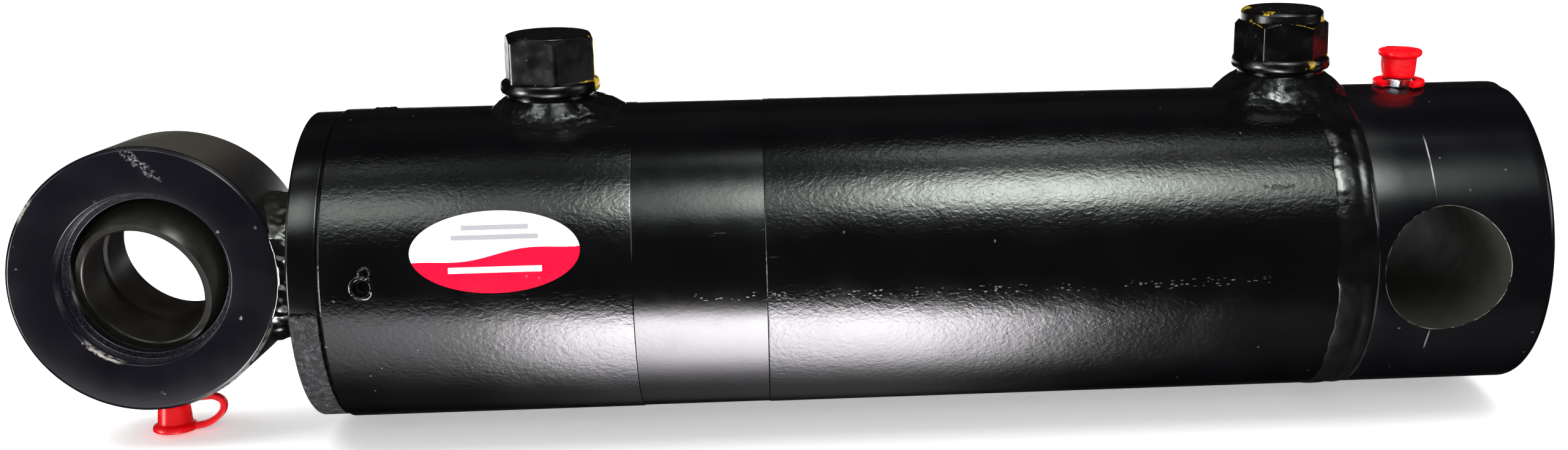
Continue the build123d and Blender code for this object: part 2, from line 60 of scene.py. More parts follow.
# ------------------------------------------------------------------ numbers shared with the CAD design (mm)
TUBE_R, BORE_R, BAND_R, BLOCK_R = 50.0, 40.0, 49.8, 49.8
BAND0, BAND1 = -253.0, -212.0
EYE_X, EYE_R, EYE_HW = -408.0, 42.3, 20.8
ROD_TURN = math.radians(-4.64)      # the rod end stands turned about the cylinder's axis
BLOCK_X1 = 34.5
BALL_R = 26.5
SCREW_X, SCREW_A = -333.9, 6.1
NIPPLE_X = -0.8
PORTS = {"rod_side": (-280.0, 55.0, 73.9, 71.8, 43.0), "base_side": (-41.1, 57.0, 76.7, 71.4, 53.7)}
ring_axis = Vector((0.17363, 0.94327, 0.28301)).normalized()


# ------------------------------------------------------------------ small helpers
def hash01(i, j, k, seed):
    h = (i.astype(np.int64) * 73856093) ^ (j.astype(np.int64) * 19349663) ^ (k.astype(np.int64) * 83492791) ^ (seed * 2654435761)
    h = (h ^ (h >> 13)) * 1274126177
    h = (h ^ (h >> 16)) & 0xFFFFFF
    return h / float(0xFFFFFF)


def noise(p, scale, seed=1):
    """Smooth value noise in -1..1 at points p (N x 3, mm); scale is the feature size in mm."""
    q = np.asarray(p, float) / scale
    f = np.floor(q)
    t = q - f
    t = t * t * (3 - 2 * t)
    i, j, k = f[:, 0], f[:, 1], f[:, 2]
    out = 0
    for a in (0, 1):
        for b in (0, 1):
            for c in (0, 1):
                w = (t[:, 0] if a else 1 - t[:, 0]) * (t[:, 1] if b else 1 - t[:, 1]) * (t[:, 2] if c else 1 - t[:, 2])
                out = out + w * hash01(i + a, j + b, k + c, seed)
    return out * 2 - 1


def fbm(p, scale, seed=1, octaves=3):
    s, a = 0, 1.0
    for o in range(octaves):
        s = s + a * noise(p, scale / 2 ** o, seed + o)
        a *= 0.5
    return s / (2 - 0.5 ** (octaves - 1))


def rounded(prof, n=5):
    """A profile of (h, r) or (h, r, fillet) corners, with arcs of n steps at the filleted ones."""
    out, m = [], len(prof)
    for i, c in enumerate(prof):
        if len(c) < 3 or c[2] <= 0:
            out.append((c[0], c[1])); continue
        p, a, b = Vector(c[:2]), Vector(prof[i - 1][:2]), Vector(prof[(i + 1) % m][:2])
        u, v = (a - p).normalized(), (b - p).normalized()
        ang = u.angle(v)
        d = min(c[2] / math.tan(ang / 2), 0.49 * (a - p).length, 0.49 * (b - p).length)
        s, e = p + u * d, p + v * d
        for k in range(n + 1):
            t = k / n
            q = (1 - t) ** 2 * s + 2 * t * (1 - t) * (p * 0.72 + (s + e) * 0.14) + t * t * e
            out.append((q.x, q.y))
    return out


def make(name, verts, faces, smooth=True, angle=32):
    me = bpy.data.meshes.new(name)
    me.from_pydata([tuple(v) for v in verts], [], faces)
    bm = bmesh.new(); bm.from_mesh(me)
    bmesh.ops.remove_doubles(bm, verts=bm.verts, dist=1e-7)
    bmesh.ops.dissolve_degenerate(bm, edges=bm.edges, dist=1e-7)
    bmesh.ops.recalc_face_normals(bm, faces=bm.faces)
    bm.to_mesh(me); bm.free()
    if smooth:
        me.polygons.foreach_set("use_smooth", [True] * len(me.polygons))
        me.set_sharp_from_angle(angle=math.radians(angle))
    ob = bpy.data.objects.new(name, me)
    bpy.context.scene.collection.objects.link(ob)
    return ob


def place(axis, o, h, r, a):
    """Point at axial height h, radius r and angle a around an axis through o (mm)."""
    c, s = math.cos(a), math.sin(a)
    if axis == "X":
        return (o[0] + h, o[1] + r * -c, o[2] + r * s)
    if axis == "Y":
        return (o[0] + r * c, o[1] + h, o[2] + r * s)
    return (o[0] + r * c, o[1] + r * s, o[2] + h)


def lathe(name, prof, axis="X", o=(0, 0, 0), seg=256, shape=None, angle=32):
    """Closed profile of (h, r) corners turned about an axis. shape(h, r, a, i) may change the radius."""
    prof = rounded(prof)
    n = len(prof)
    V, F = [], []
    for j in range(seg):
        a = 2 * math.pi * j / seg
        for i, (h, r) in enumerate(prof):
            rr = shape(h, r, a, i) if shape else r
            p = place(axis, o, h, rr, a)
            V.append((p[0] * MM, p[1] * MM, p[2] * MM))
    for j in range(seg):
        k = (j + 1) % seg
        for i in range(n):
            m = (i + 1) % n
            if prof[i][1] == 0 and prof[m][1] == 0:
                continue
            F.append((j * n + i, j * n + m, k * n + m, k * n + i))
    return make(name, V, F, angle=angle)


def grid_mesh(name, P, wrap_u=False, wrap_v=False, angle=60):
    """P is (nu, nv, 3) in mm."""
    nu, nv = P.shape[:2]
    F = []
    for i in range(nu if wrap_u else nu - 1):
        for j in range(nv if wrap_v else nv - 1):
            a, b = (i + 1) % nu, (j + 1) % nv
            F.append((i * nv + j, a * nv + j, a * nv + b, i * nv + b))
    return make(name, (P.reshape(-1, 3) * MM), F, angle=angle)


def boolean(ob, cutters, op="DIFFERENCE"):
    for c in cutters:
        m = ob.modifiers.new("cut", "BOOLEAN")
        m.operation, m.object, m.solver = op, c, "EXACT"
    dg = bpy.context.evaluated_depsgraph_get()
    me = bpy.data.meshes.new_from_object(ob.evaluated_get(dg))
    ob.modifiers.clear()
    old = ob.data
    ob.data = me
    bpy.data.meshes.remove(old)
    for c in cutters:
        bpy.data.objects.remove(c)
    me.polygons.foreach_set("use_smooth", [True] * len(me.polygons))
    me.set_sharp_from_angle(angle=math.radians(30))
    return ob


def bevelled(ob, width, angle=40, segments=3):
    """Applies a small bevel to the sharp edges and keeps the new mesh."""
    m = ob.modifiers.new("bevel", "BEVEL")
    m.width, m.segments, m.limit_method, m.angle_limit = width * MM, segments, "ANGLE", math.radians(angle)
    m.miter_outer = "MITER_ARC"
    dg = bpy.context.evaluated_depsgraph_get()
    me = bpy.data.meshes.new_from_object(ob.evaluated_get(dg))
    ob.modifiers.clear()
    ob.data = me
    me.polygons.foreach_set("use_smooth", [True] * len(me.polygons))
    me.set_sharp_from_angle(angle=math.radians(50))
    return ob


def cyl(r, p0, p1, seg=96, r1=None):
    """A plain cutter between two points, mm."""
    p0, p1 = Vector(p0), Vector(p1)
    d = (p1 - p0).normalized()
    u = d.orthogonal().normalized(); v = d.cross(u)
    r1 = r if r1 is None else r1
    V, F = [], []
    for j in range(seg):
        a = 2 * math.pi * j / seg
        w = u * math.cos(a) + v * math.sin(a)
        V += [(p0 + w * r) * MM, (p1 + w * r1) * MM]
    for j in range(seg):
        k = (j + 1) % seg
        F.append((2 * j, 2 * k, 2 * k + 1, 2 * j + 1))
    F.append([2 * j for j in range(seg)][::-1])
    F.append([2 * j + 1 for j in range(seg)])
    return make("cutter", V, F, smooth=False)


def turned(ob):
    """Turns a piece of the rod end with the rod about the cylinder's axis."""
    ob.data.transform(Matrix.Rotation(ROD_TURN, 4, "X"))
    return ob


def turned_point(x, y, z):
    c, s = math.cos(ROD_TURN), math.sin(ROD_TURN)
    return (x * MM, (y * c - z * s) * MM, (y * s + z * c) * MM)


def attr(ob, name, values):
    a = ob.data.attributes.new(name, "FLOAT", "POINT")
    a.data.foreach_set("value", np.asarray(values, np.float32))


def co(ob):
    c = np.zeros(len(ob.data.vertices) * 3, np.float32)
    ob.data.vertices.foreach_get("co", c)
    return c.reshape(-1, 3).astype(float) / MM


def finish_piece(ob, body, mat, slot, *replaced, blend=None):
    ob.data.materials.clear()
    ob.data.materials.append(mat)
    if replaced:
        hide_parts(*replaced)
    if blend:
        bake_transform(ob)
    else:
        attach(ob, body)
    return ob


# ------------------------------------------------------------------ materials
class Mat:
    def __init__(self, name):
        self.m = bpy.data.materials.new(name)
        self.m.use_nodes = True
        self.t = self.m.node_tree
        self.t.nodes.clear()
        self.out = self.t.nodes.new("ShaderNodeOutputMaterial")
        self.b = self.t.nodes.new("ShaderNodeBsdfPrincipled")
        self.t.links.new(self.b.outputs[0], self.out.inputs[0])
        self.obj = self.t.nodes.new("ShaderNodeTexCoord").outputs["Object"]
        self.normal = None

    def link(self, a, b):
        self.t.links.new(a, b)

    def set(self, **kw):
        for k, v in kw.items():
            k = k.replace("_", " ")
            if hasattr(v, "is_linked") or hasattr(v, "links"):
                self.link(v, self.b.inputs[k])
            elif k in ("Base Color", "Coat Tint", "Specular Tint", "Sheen Tint") and len(v) == 3:
                self.b.inputs[k].default_value = (*v, 1)
            else:
                self.b.inputs[k].default_value = v

    def math(self, op, a, b=None, c=None, clamp=False):
        n = self.t.nodes.new("ShaderNodeMath")
        n.operation, n.use_clamp = op, clamp
        for i, v in enumerate((a, b, c)):
            if v is None:
                continue
            if isinstance(v, (int, float)):
                n.inputs[i].default_value = v
            else:
                self.link(v, n.inputs[i])
        return n.outputs[0]

    def xyz(self, v=None):
        n = self.t.nodes.new("ShaderNodeSeparateXYZ")
        self.link(v or self.obj, n.inputs[0])
        return n.outputs

    def scaled(self, sx, sy, sz, vec=None, loc=(0, 0, 0)):
        n = self.t.nodes.new("ShaderNodeMapping")
        n.inputs["Scale"].default_value = (sx, sy, sz)
        n.inputs["Location"].default_value = loc
        self.link(vec or self.obj, n.inputs[0])
        return n.outputs[0]

    def noise(self, scale, detail=3, rough=0.5, vec=None, dist=0.0):
        n = self.t.nodes.new("ShaderNodeTexNoise")
        n.inputs["Scale"].default_value = scale
        n.inputs["Detail"].default_value = detail
        n.inputs["Roughness"].default_value = rough
        n.inputs["Distortion"].default_value = dist
        self.link(vec or self.obj, n.inputs["Vector"])
        return n.outputs[0]

    def voronoi(self, scale, feature="F1", vec=None, out="Distance", random=1.0):
        n = self.t.nodes.new("ShaderNodeTexVoronoi")
        n.feature = feature
        n.inputs["Scale"].default_value = scale
        n.inputs["Randomness"].default_value = random
        self.link(vec or self.obj, n.inputs["Vector"])
        return n.outputs[out]

    def ramp(self, v, lo, hi, a=0.0, b=1.0, smooth=True):
        n = self.t.nodes.new("ShaderNodeMapRange")
        n.interpolation_type = "SMOOTHSTEP" if smooth else "LINEAR"
        n.inputs["From Min"].default_value, n.inputs["From Max"].default_value = lo, hi
        n.inputs["To Min"].default_value, n.inputs["To Max"].default_value = a, b
        self.link(v, n.inputs[0])
        return n.outputs[0]

    def mix(self, f, a, b):
        n = self.t.nodes.new("ShaderNodeMix")
        n.data_type = "RGBA"
        for s, v in ((n.inputs[0], f), (n.inputs[6], a), (n.inputs[7], b)):
            if isinstance(v, (int, float)):
                s.default_value = v
            elif isinstance(v, tuple):
                s.default_value = (*v, 1)
            else:
                self.link(v, s)
        return n.outputs[2]

    def attrib(self, name):
        n = self.t.nodes.new("ShaderNodeAttribute")
        n.attribute_name = name
        return n.outputs["Fac"]

    def bump(self, height, dist, strength=1.0):
        n = self.t.nodes.new("ShaderNodeBump")
        n.inputs["Distance"].default_value = dist
        n.inputs["Strength"].default_value = strength
        self.link(height, n.inputs["Height"])
        if self.normal is not None:
            self.link(self.normal, n.inputs["Normal"])
        self.normal = n.outputs[0]
        self.link(self.normal, self.b.inputs["Normal"])

    # masks -------------------------------------------------------------
    def angle(self):
        """Angle above the -Y side around the cylinder's axis, in degrees."""
        x, y, z = self.xyz()
        return self.math("MULTIPLY", self.math("ARCTAN2", z, self.math("MULTIPLY", y, -1.0)), 57.29578)

    def window(self, v, lo, hi, soft):
        a = self.ramp(v, lo - soft, lo + soft)
        b = self.ramp(v, hi - soft, hi + soft, 1.0, 0.0)
        return self.math("MULTIPLY", a, b)

    def specks(self, scale, size, chance, seed=0.0):
        """Small scattered dots: a voronoi cell's centre, in a share of the cells."""
        vec = self.scaled(1, 1, 1, loc=(seed, seed * 0.7, seed * 1.3))
        n = self.t.nodes.new("ShaderNodeTexVoronoi")
        n.inputs["Scale"].default_value = scale
        self.link(vec, n.inputs["Vector"])
        dot = self.ramp(n.outputs["Distance"], size * 0.6, size, 1.0, 0.0)
        sep = self.t.nodes.new("ShaderNodeSeparateColor")
        self.link(n.outputs["Color"], sep.inputs[0])
        gate = self.math("LESS_THAN", sep.outputs[0], chance)
        return self.math("MULTIPLY", dot, gate)


def black_paint(name, peel=1.0, rough=0.155, tint=(0.0014, 0.0014, 0.0017), dust=0.3, tube=False, gland=False, block=False, eye=False):
    m = Mat(name)
    x, y, z = m.xyz()
    # orange peel: small irregular wrinkles, a little longer along the tube
    peel_vec = m.scaled(0.72, 1.0, 1.0)
    fine = m.noise(880, 2.0, 0.55, peel_vec, 0.5)
    coarse = m.noise(280, 2.0, 0.5, peel_vec, 0.3)
    h = m.math("ADD", m.math("MULTIPLY", fine, 0.75), m.math("MULTIPLY", coarse, 0.5))
    if tube:
        # the turned band in the middle is smoother
        band = m.window(x, -0.2530, -0.2120, 0.0006)
        amount = m.ramp(band, 0.0, 1.0, 1.0, 0.25)
        h = m.math("MULTIPLY", h, amount)
    m.bump(h, 0.000105 * peel, 1.0)
    # broad waviness of the coat
    m.bump(m.noise(45, 2.0, 0.5), 0.00020 * (0.5 + 0.5 * peel), 0.5)
    mottle = m.noise(38, 4.0, 0.6)
    col = m.mix(m.ramp(mottle, 0.35, 0.75), tint, tuple(c * 1.4 for c in tint))
    r = m.ramp(m.noise(60, 5.0, 0.62), 0.3, 0.75, rough - 0.03, rough + 0.05)
    # dust and grit under the paint
    s1 = m.specks(260, 0.12, 0.07)
    s2 = m.specks(150, 0.075, 0.05, 3.1)
    dots = m.math("MAXIMUM", s1, s2)
    col = m.mix(m.math("MULTIPLY", dots, dust), col, (0.16, 0.155, 0.15))
    m.bump(dots, 0.00009, 0.8)
    if tube:
        ang = m.angle()
        # line of short horizontal scuffs along the front
        line = m.window(m.math("ADD", ang, m.math("MULTIPLY", m.noise(60, 3.0, 0.6), 3.0)), -1.0, 1.8, 0.7)
        span = m.window(x, -0.236, -0.058, 0.004)
        some = m.ramp(m.noise(44, 3.0, 0.6), 0.44, 0.54)
        def dashes(sx, sr, size, chance, seed):
            v = m.t.nodes.new("ShaderNodeTexVoronoi")
            v.inputs["Scale"].default_value = 1.0
            m.link(m.scaled(sx, sr, sr, loc=(seed, seed * 0.7, seed * 1.3)), v.inputs["Vector"])
            sp = m.t.nodes.new("ShaderNodeSeparateColor")
            m.link(v.outputs["Color"], sp.inputs[0])
            return m.math("MULTIPLY", m.ramp(v.outputs["Distance"], size * 0.5, size, 1.0, 0.0), m.math("LESS_THAN", sp.outputs[0], chance))
        d1 = m.math("MAXIMUM", dashes(620.0, 1500.0, 0.42, 0.34, 1.3), dashes(260.0, 1900.0, 0.26, 0.30, 4.1))
        d1 = m.math("MULTIPLY", d1, m.ramp(m.noise(1100, 3.0, 0.7), 0.38, 0.55, 0.15, 1.0))
        sc = m.math("MULTIPLY", m.math("MULTIPLY", line, span), m.math("MULTIPLY", d1, some))
        # scattered fine scratches
        patch = m.ramp(m.noise(22, 3.0, 0.5), 0.56, 0.70)
        fs = m.math("MULTIPLY", dashes(60.0, 2200.0, 0.16, 0.16, 9.7), patch)
        marks = m.math("MAXIMUM", sc, m.math("MULTIPLY", fs, 0.35))
        col = m.mix(m.math("MULTIPLY", marks, 0.50), col, (0.17, 0.17, 0.18))
        m.bump(marks, 0.00008, 0.8)
        # a chip near the base-side port
        cx = m.math("MULTIPLY", m.math("ADD", x, 0.053), 170.0)
        ca = m.math("MULTIPLY", m.math("SUBTRACT", ang, 32.4), 0.62)
        cd = m.math("SQRT", m.math("ADD", m.math("MULTIPLY", cx, cx), m.math("MULTIPLY", ca, ca)))
        cd = m.math("ADD", cd, m.math("MULTIPLY", m.math("SUBTRACT", m.noise(420, 4.0, 0.65), 0.5), 2.6))
        chip = m.ramp(cd, 0.50, 0.70, 1.0, 0.0)
        col = m.mix(chip, col, (0.012, 0.010, 0.006))
        r = m.math("ADD", r, m.math("MULTIPLY", chip, 0.35))
        m.bump(chip, -0.00012, 0.8)
    if gland:
        ang = m.angle()
        # wrinkled, flaking paint on the lower front of the collar; its lighter grey is partly painted reflection,
        # standing in for the sheen the wrinkles catch
        edge = m.math("ADD", ang, m.math("MULTIPLY", m.noise(160, 2.0, 0.5), 9.0))
        reg = m.math("MULTIPLY", m.window(edge, -62.0, 1.0, 1.5), m.ramp(x, -0.3480, -0.3472, 1.0, 0.0))
        flakes = m.voronoi(430, vec=m.scaled(1.0, 0.8, 1.3), random=1.0)
        wr = m.math("MULTIPLY", m.math("ADD", flakes, m.noise(700, 4.0, 0.7, None, 2.0)), reg)
        m.bump(wr, 0.00075, 1.0)
        r = m.math("ADD", r, m.math("MULTIPLY", reg, 0.05))
        flake_and_sheen_strokes = m.math("MULTIPLY", m.ramp(m.noise(330, 5.0, 0.75, m.scaled(1.0, 1.0, 0.5), 1.6), 0.52, 0.62), m.ramp(flakes, 0.15, 0.5, 0.3, 1.0))
        # lighter grey over the whole patch and along the streaks: partly flaking paint, partly painted reflection
        col = m.mix(m.math("MULTIPLY", reg, m.math("ADD", m.math("MULTIPLY", flake_and_sheen_strokes, 0.50), 0.10)), col, (0.105, 0.105, 0.115))
    if block:
        ang = m.angle()
        # bright lines left by the scriber, above and below the bore
        d = m.math("ABSOLUTE", m.math("SUBTRACT", m.math("ADD", x, m.math("MULTIPLY", m.noise(90, 2, 0.5), 0.0005)), -0.0031))
        line = m.ramp(d, 0.00014, 0.00032, 1.0, 0.0)
        broken = m.ramp(m.noise(70, 3.0, 0.6), 0.30, 0.46)
        on = m.math("MAXIMUM", m.window(ang, 33.0, 49.0, 4.0), m.math("MULTIPLY", m.window(ang, -33.0, -25.0, 2.0), 0.4))
        lm = m.math("MULTIPLY", m.math("MULTIPLY", line, broken), on)
        col = m.mix(m.math("MULTIPLY", lm, 0.85), col, (0.42, 0.42, 0.45))
        # bare metal shows in a thin broken line at the rim of the bore
        rr = m.math("SQRT", m.math("ADD", m.math("MULTIPLY", x, x), m.math("MULTIPLY", z, z)))
        rim = m.window(rr, 0.02001, 0.02020, 0.00010)
        side = m.ramp(m.math("SUBTRACT", m.math("MULTIPLY", x, 1.0), m.math("MULTIPLY", z, 0.35)), -0.004, 0.012, 0.25, 1.0)
        w = m.math("MULTIPLY", m.math("MULTIPLY", rim, side), m.ramp(m.noise(210, 5.0, 0.7), 0.42, 0.56))
        col = m.mix(m.math("MULTIPLY", w, 0.8), col, (0.46, 0.40, 0.35))
        m.bump(w, -0.00004, 0.8)
    if eye:
        # in the eye's own frame, turned with the rod
        rot = m.t.nodes.new("ShaderNodeVectorRotate")
        rot.rotation_type = "X_AXIS"
        rot.inputs["Angle"].default_value = -ROD_TURN
        m.link(m.obj, rot.inputs["Vector"])
        x, y, z = m.xyz(rot.outputs[0])
        xe = m.math("ADD", x, 0.408)
        er = m.math("SQRT", m.math("ADD", m.math("MULTIPLY", xe, xe), m.math("MULTIPLY", z, z)))
        ea = m.math("MULTIPLY", m.math("ARCTAN2", z, xe), 57.29578)
        front = m.ramp(y, -0.0204, -0.0198, 1.0, 0.0)
        nearf = m.ramp(y, -0.0192, -0.0182, 1.0, 0.0)
        ragged = m.ramp(m.noise(420, 5.0, 0.72), 0.38, 0.54)
        er2 = m.math("ADD", er, m.math("MULTIPLY", m.math("SUBTRACT", m.noise(260, 4.0, 0.65), 0.5), 0.0022))
        w1 = m.math("MULTIPLY", m.window(ea, -136.0, -109.0, 5.0), m.window(er2, 0.0271, 0.0281, 0.0003))
        w1 = m.math("MULTIPLY", w1, m.ramp(m.noise(620, 5.0, 0.75, None, 0.6), 0.43, 0.53))
        w2 = m.math("MULTIPLY", m.window(ea, 141.5, 151.0, 2.5), m.window(er, 0.0410, 0.0430, 0.0003))
        w3 = m.math("MULTIPLY", m.math("MULTIPLY", m.window(ea, -70.0, -22.0, 8.0), m.window(er, 0.0416, 0.0430, 0.0003)), 0.6)
        w23 = m.math("MULTIPLY", m.math("ADD", w2, w3), ragged)
        w = m.math("MULTIPLY", m.math("ADD", w1, w23), nearf)
        grain = m.math("MULTIPLY", m.window(er, 0.0240, 0.0276, 0.0002), m.math("MULTIPLY", m.ramp(y, -0.0208, -0.0205), m.ramp(y, -0.0142, -0.0138, 1.0, 0.0)))
        gcol = m.mix(m.ramp(m.noise(1100, 4.0, 0.7), 0.42, 0.62), (0.0035, 0.0033, 0.0055), (0.018, 0.017, 0.027))
        col = m.mix(m.math("MULTIPLY", grain, 0.75), col, gcol)
        m.bump(m.math("MULTIPLY", grain, m.noise(1100, 4.0, 0.7)), 0.00014, 0.8)
        col = m.mix(m.math("MULTIPLY", w, 0.85), col, (0.36, 0.34, 0.30))
        m.bump(w, -0.00006, 0.8)
        # flecks where the paint was knocked on the upper front of the eye
        dx = m.math("SUBTRACT", x, -0.4065); dz = m.math("SUBTRACT", z, 0.0372)
        along = m.math("ADD", m.math("MULTIPLY", dx, 0.74), m.math("MULTIPLY", dz, -0.67))
        across = m.math("ADD", m.math("MULTIPLY", dx, 0.67), m.math("MULTIPLY", dz, 0.74))
        el = m.math("SQRT", m.math("ADD", m.math("POWER", m.math("MULTIPLY", m.math("ABSOLUTE", along), 115.0), 2.0), m.math("POWER", m.math("MULTIPLY", m.math("ABSOLUTE", across), 560.0), 2.0)))
        fl = m.math("MULTIPLY", m.ramp(el, 0.50, 1.15, 1.0, 0.0), m.ramp(m.noise(800, 5.0, 0.75, None, 0.8), 0.51, 0.59))
        fl = m.math("MULTIPLY", fl, front)
        col = m.mix(m.math("MULTIPLY", fl, 0.75), col, (0.26, 0.25, 0.28))
        m.bump(fl, 0.00014, 1.0)
        knocks = m.math("MULTIPLY", m.specks(190, 0.15, 0.34, 5.3), m.ramp(m.noise(900, 4.0, 0.7), 0.44, 0.54))
        right = m.ramp(x, -0.397, -0.385, 0.15, 1.0)
        knocks = m.math("MULTIPLY", m.math("MULTIPLY", knocks, right), front)
        col = m.mix(m.math("MULTIPLY", knocks, 0.70), col, (0.26, 0.26, 0.29))
        m.bump(knocks, 0.00014, 0.9)
        # dusty, duller paint on the turned outside
        outside = m.math("MULTIPLY", m.ramp(er, 0.0418, 0.0422), m.ramp(y, -0.0196, -0.0188))
        outside = m.math("MULTIPLY", outside, m.ramp(x, -0.392, -0.377, 1.0, 0.25))
        col = m.mix(m.math("MULTIPLY", outside, 0.5), col, (0.052, 0.048, 0.034))
        r = m.math("ADD", r, m.math("MULTIPLY", outside, 0.22))
        # faint facing marks from the lathe
        m.bump(m.math("SINE", m.math("MULTIPLY", er, 9000.0)), 0.0000012, 0.5)
    m.set(Base_Color=col, Roughness=r)
    m.set(IOR=1.5)
    return m.m


def weld_paint(name, rough=0.10):
    m = Mat(name)
    col = m.mix(m.ramp(m.noise(120, 4.0, 0.6), 0.35, 0.7), (0.0018, 0.0018, 0.0020), (0.0036, 0.0036, 0.0040))
    s = m.specks(330, 0.15, 0.08, 1.7)
    col = m.mix(m.math("MULTIPLY", s, 0.35), col, (0.2, 0.2, 0.2))
    m.bump(m.noise(420, 3.0, 0.55), 0.00009, 0.8)
    m.bump(m.noise(1500, 2.0, 0.5), 0.000015, 0.8)
    x, y, z = m.xyz()
    dull = m.math("MULTIPLY", m.ramp(z, 0.004, -0.012), m.ramp(x, -0.10, -0.09))
    r = m.math("ADD", m.ramp(m.noise(150, 4.0, 0.6), 0.3, 0.75, rough - 0.04, rough + 0.10), m.math("MULTIPLY", dull, 0.24))
    dusty = m.math("MULTIPLY", m.ramp(x, -0.361, -0.367), m.ramp(z, 0.006, 0.018))
    col = m.mix(m.math("MULTIPLY", dusty, 0.22), col, (0.020, 0.018, 0.011))
    r = m.math("ADD", r, m.math("MULTIPLY", dusty, 0.20))
    spec = m.ramp(dull, 0.0, 1.0, 0.5, 0.14)
    # around the ports the coat is uneven, glossy only in small places
    top = m.ramp(z, 0.040, 0.044)
    uneven = m.ramp(m.noise(230, 4.0, 0.65), 0.51, 0.61, 0.10, 0.60)
    spec = m.math("ADD", m.math("MULTIPLY", spec, m.math("SUBTRACT", 1.0, top)), m.math("MULTIPLY", uneven, top))
    wet = m.math("MULTIPLY", m.ramp(x, -0.355, -0.357), m.ramp(y, -0.008, -0.014))
    spec = m.math("ADD", spec, m.math("MULTIPLY", wet, 0.45))
    m.set(Base_Color=col, Roughness=r, Specular_IOR_Level=spec)
    m.set(IOR=1.5)
    return m.m


def red_plastic(name):
    m = Mat(name)
    col = m.mix(m.ramp(m.noise(160, 3.0, 0.5), 0.3, 0.75), (0.86, 0.0, 0.006), (0.68, 0.0, 0.004))
    d = m.specks(500, 0.2, 0.08, 2.0)
    col = m.mix(m.math("MULTIPLY", d, 0.35), col, (0.25, 0.03, 0.03))
    m.bump(m.noise(900, 3.0, 0.5), 0.00002, 0.7)
    m.bump(m.noise(140, 2.0, 0.5), 0.00012, 0.5)
    m.set(Base_Color=col, Roughness=m.ramp(m.noise(300, 4.0, 0.6), 0.3, 0.75, 0.24, 0.38))
    m.set(Subsurface_Weight=0.18, Subsurface_Scale=0.002, IOR=1.5, Specular_IOR_Level=0.3)
    m.b.inputs["Subsurface Radius"].default_value = (1.0, 0.25, 0.12)
    return m.m


def plug_paint(name):
    """Yellow plastic sprayed black: the yellow shows where the vertex attribute 'wear' lets it."""
    m = Mat(name)
    wear = m.attrib("wear")
    n = m.noise(330, 5.0, 0.65)
    show = m.ramp(m.math("ADD", wear, m.math("MULTIPLY", m.math("SUBTRACT", n, 0.5), 1.1)), 0.55, 0.78)
    blk = m.mix(m.ramp(m.noise(130, 4.0, 0.6), 0.35, 0.75), (0.0010, 0.0009, 0.0009), (0.0022, 0.0019, 0.0016))
    thin = m.ramp(m.noise(75, 3.0, 0.6), 0.55, 0.85, 0.0, 0.06)
    blk = m.mix(thin, blk, (0.030, 0.024, 0.006))
    col = m.mix(show, blk, (0.50, 0.33, 0.008))
    col = m.mix(m.math("MULTIPLY", m.specks(420, 0.17, 0.08, 5.0), 0.5), col, (0.2, 0.18, 0.1))
    m.bump(m.noise(520, 3.0, 0.55), 0.00004, 0.8)
    m.bump(m.noise(110, 2.0, 0.5), 0.00015, 0.5)
    m.set(Base_Color=col, Roughness=m.ramp(m.noise(200, 4.0, 0.6), 0.3, 0.75, 0.17, 0.34))
    m.set(IOR=1.5)
    return m.m


def metal(name, base, rough, var=0.06, scale=260, aniso=None, metallic=1.0, bump=0.000012, stretch=(1, 1, 1), grime=0.0):
    m = Mat(name)
    v = m.scaled(*stretch)
    n = m.noise(scale, 5.0, 0.62, v)
    dark = tuple(c * 0.72 for c in base)
    col = m.mix(m.ramp(n, 0.3, 0.75), dark, base)
    if grime:
        g = m.ramp(m.noise(60, 5.0, 0.65), 0.45, 0.75, 0.0, grime)
        col = m.mix(g, col, (0.03, 0.026, 0.018))
    m.bump(m.noise(scale * 2.3, 3.0, 0.6, v), bump, 0.8)
    m.set(Base_Color=col, Roughness=m.ramp(m.noise(scale * 0.6, 4.0, 0.6, v), 0.3, 0.75, max(0.03, rough - var), rough + var))
    m.set(Metallic=metallic)
    return m.m


def soft(name, base, rough, scale=300, bump=0.00002, spec=0.5, weave=False):
    m = Mat(name)
    n = m.noise(scale, 4.0, 0.6)
    col = m.mix(m.ramp(n, 0.3, 0.75), base, tuple(min(1, c * 1.5 + 0.004) for c in base))
    if weave:
        w = m.math("MULTIPLY", m.math("SINE", m.math("MULTIPLY", m.xyz()[0], 6000.0)), m.math("SINE", m.math("MULTIPLY", m.xyz()[2], 6000.0)))
        m.bump(w, 0.00001, 0.6)
    m.bump(m.noise(scale * 3, 3.0, 0.6), bump, 0.8)
    m.set(Base_Color=col, Roughness=m.ramp(n, 0.3, 0.75, rough - 0.06, rough + 0.08))
    return m.m


def bare_bore(name):
    """Thinly oversprayed, oiled bore of the base block."""
    m = Mat(name)
    x, y, z = m.xyz()
    v = m.scaled(1, 0.25, 1)
    col = m.mix(m.ramp(m.noise(150, 5.0, 0.65, v), 0.3, 0.75), (0.015, 0.015, 0.012), (0.025, 0.025, 0.020))
    turn = m.noise(1.0, 3.0, 0.6, m.scaled(60, 1400, 60))
    streak = m.ramp(m.noise(1.0, 4.0, 0.6, m.scaled(120, 420, 120)), 0.58, 0.78, 0.0, 0.35)
    col = m.mix(streak, col, (0.10, 0.10, 0.085))
    m.bump(turn, 0.000014, 0.7)
    m.set(Base_Color=col, Roughness=m.ramp(m.noise(90, 4.0, 0.6), 0.3, 0.75, 0.60, 0.74))
    m.set(Metallic=0.0, Specular_IOR_Level=0.3)
    return m.m


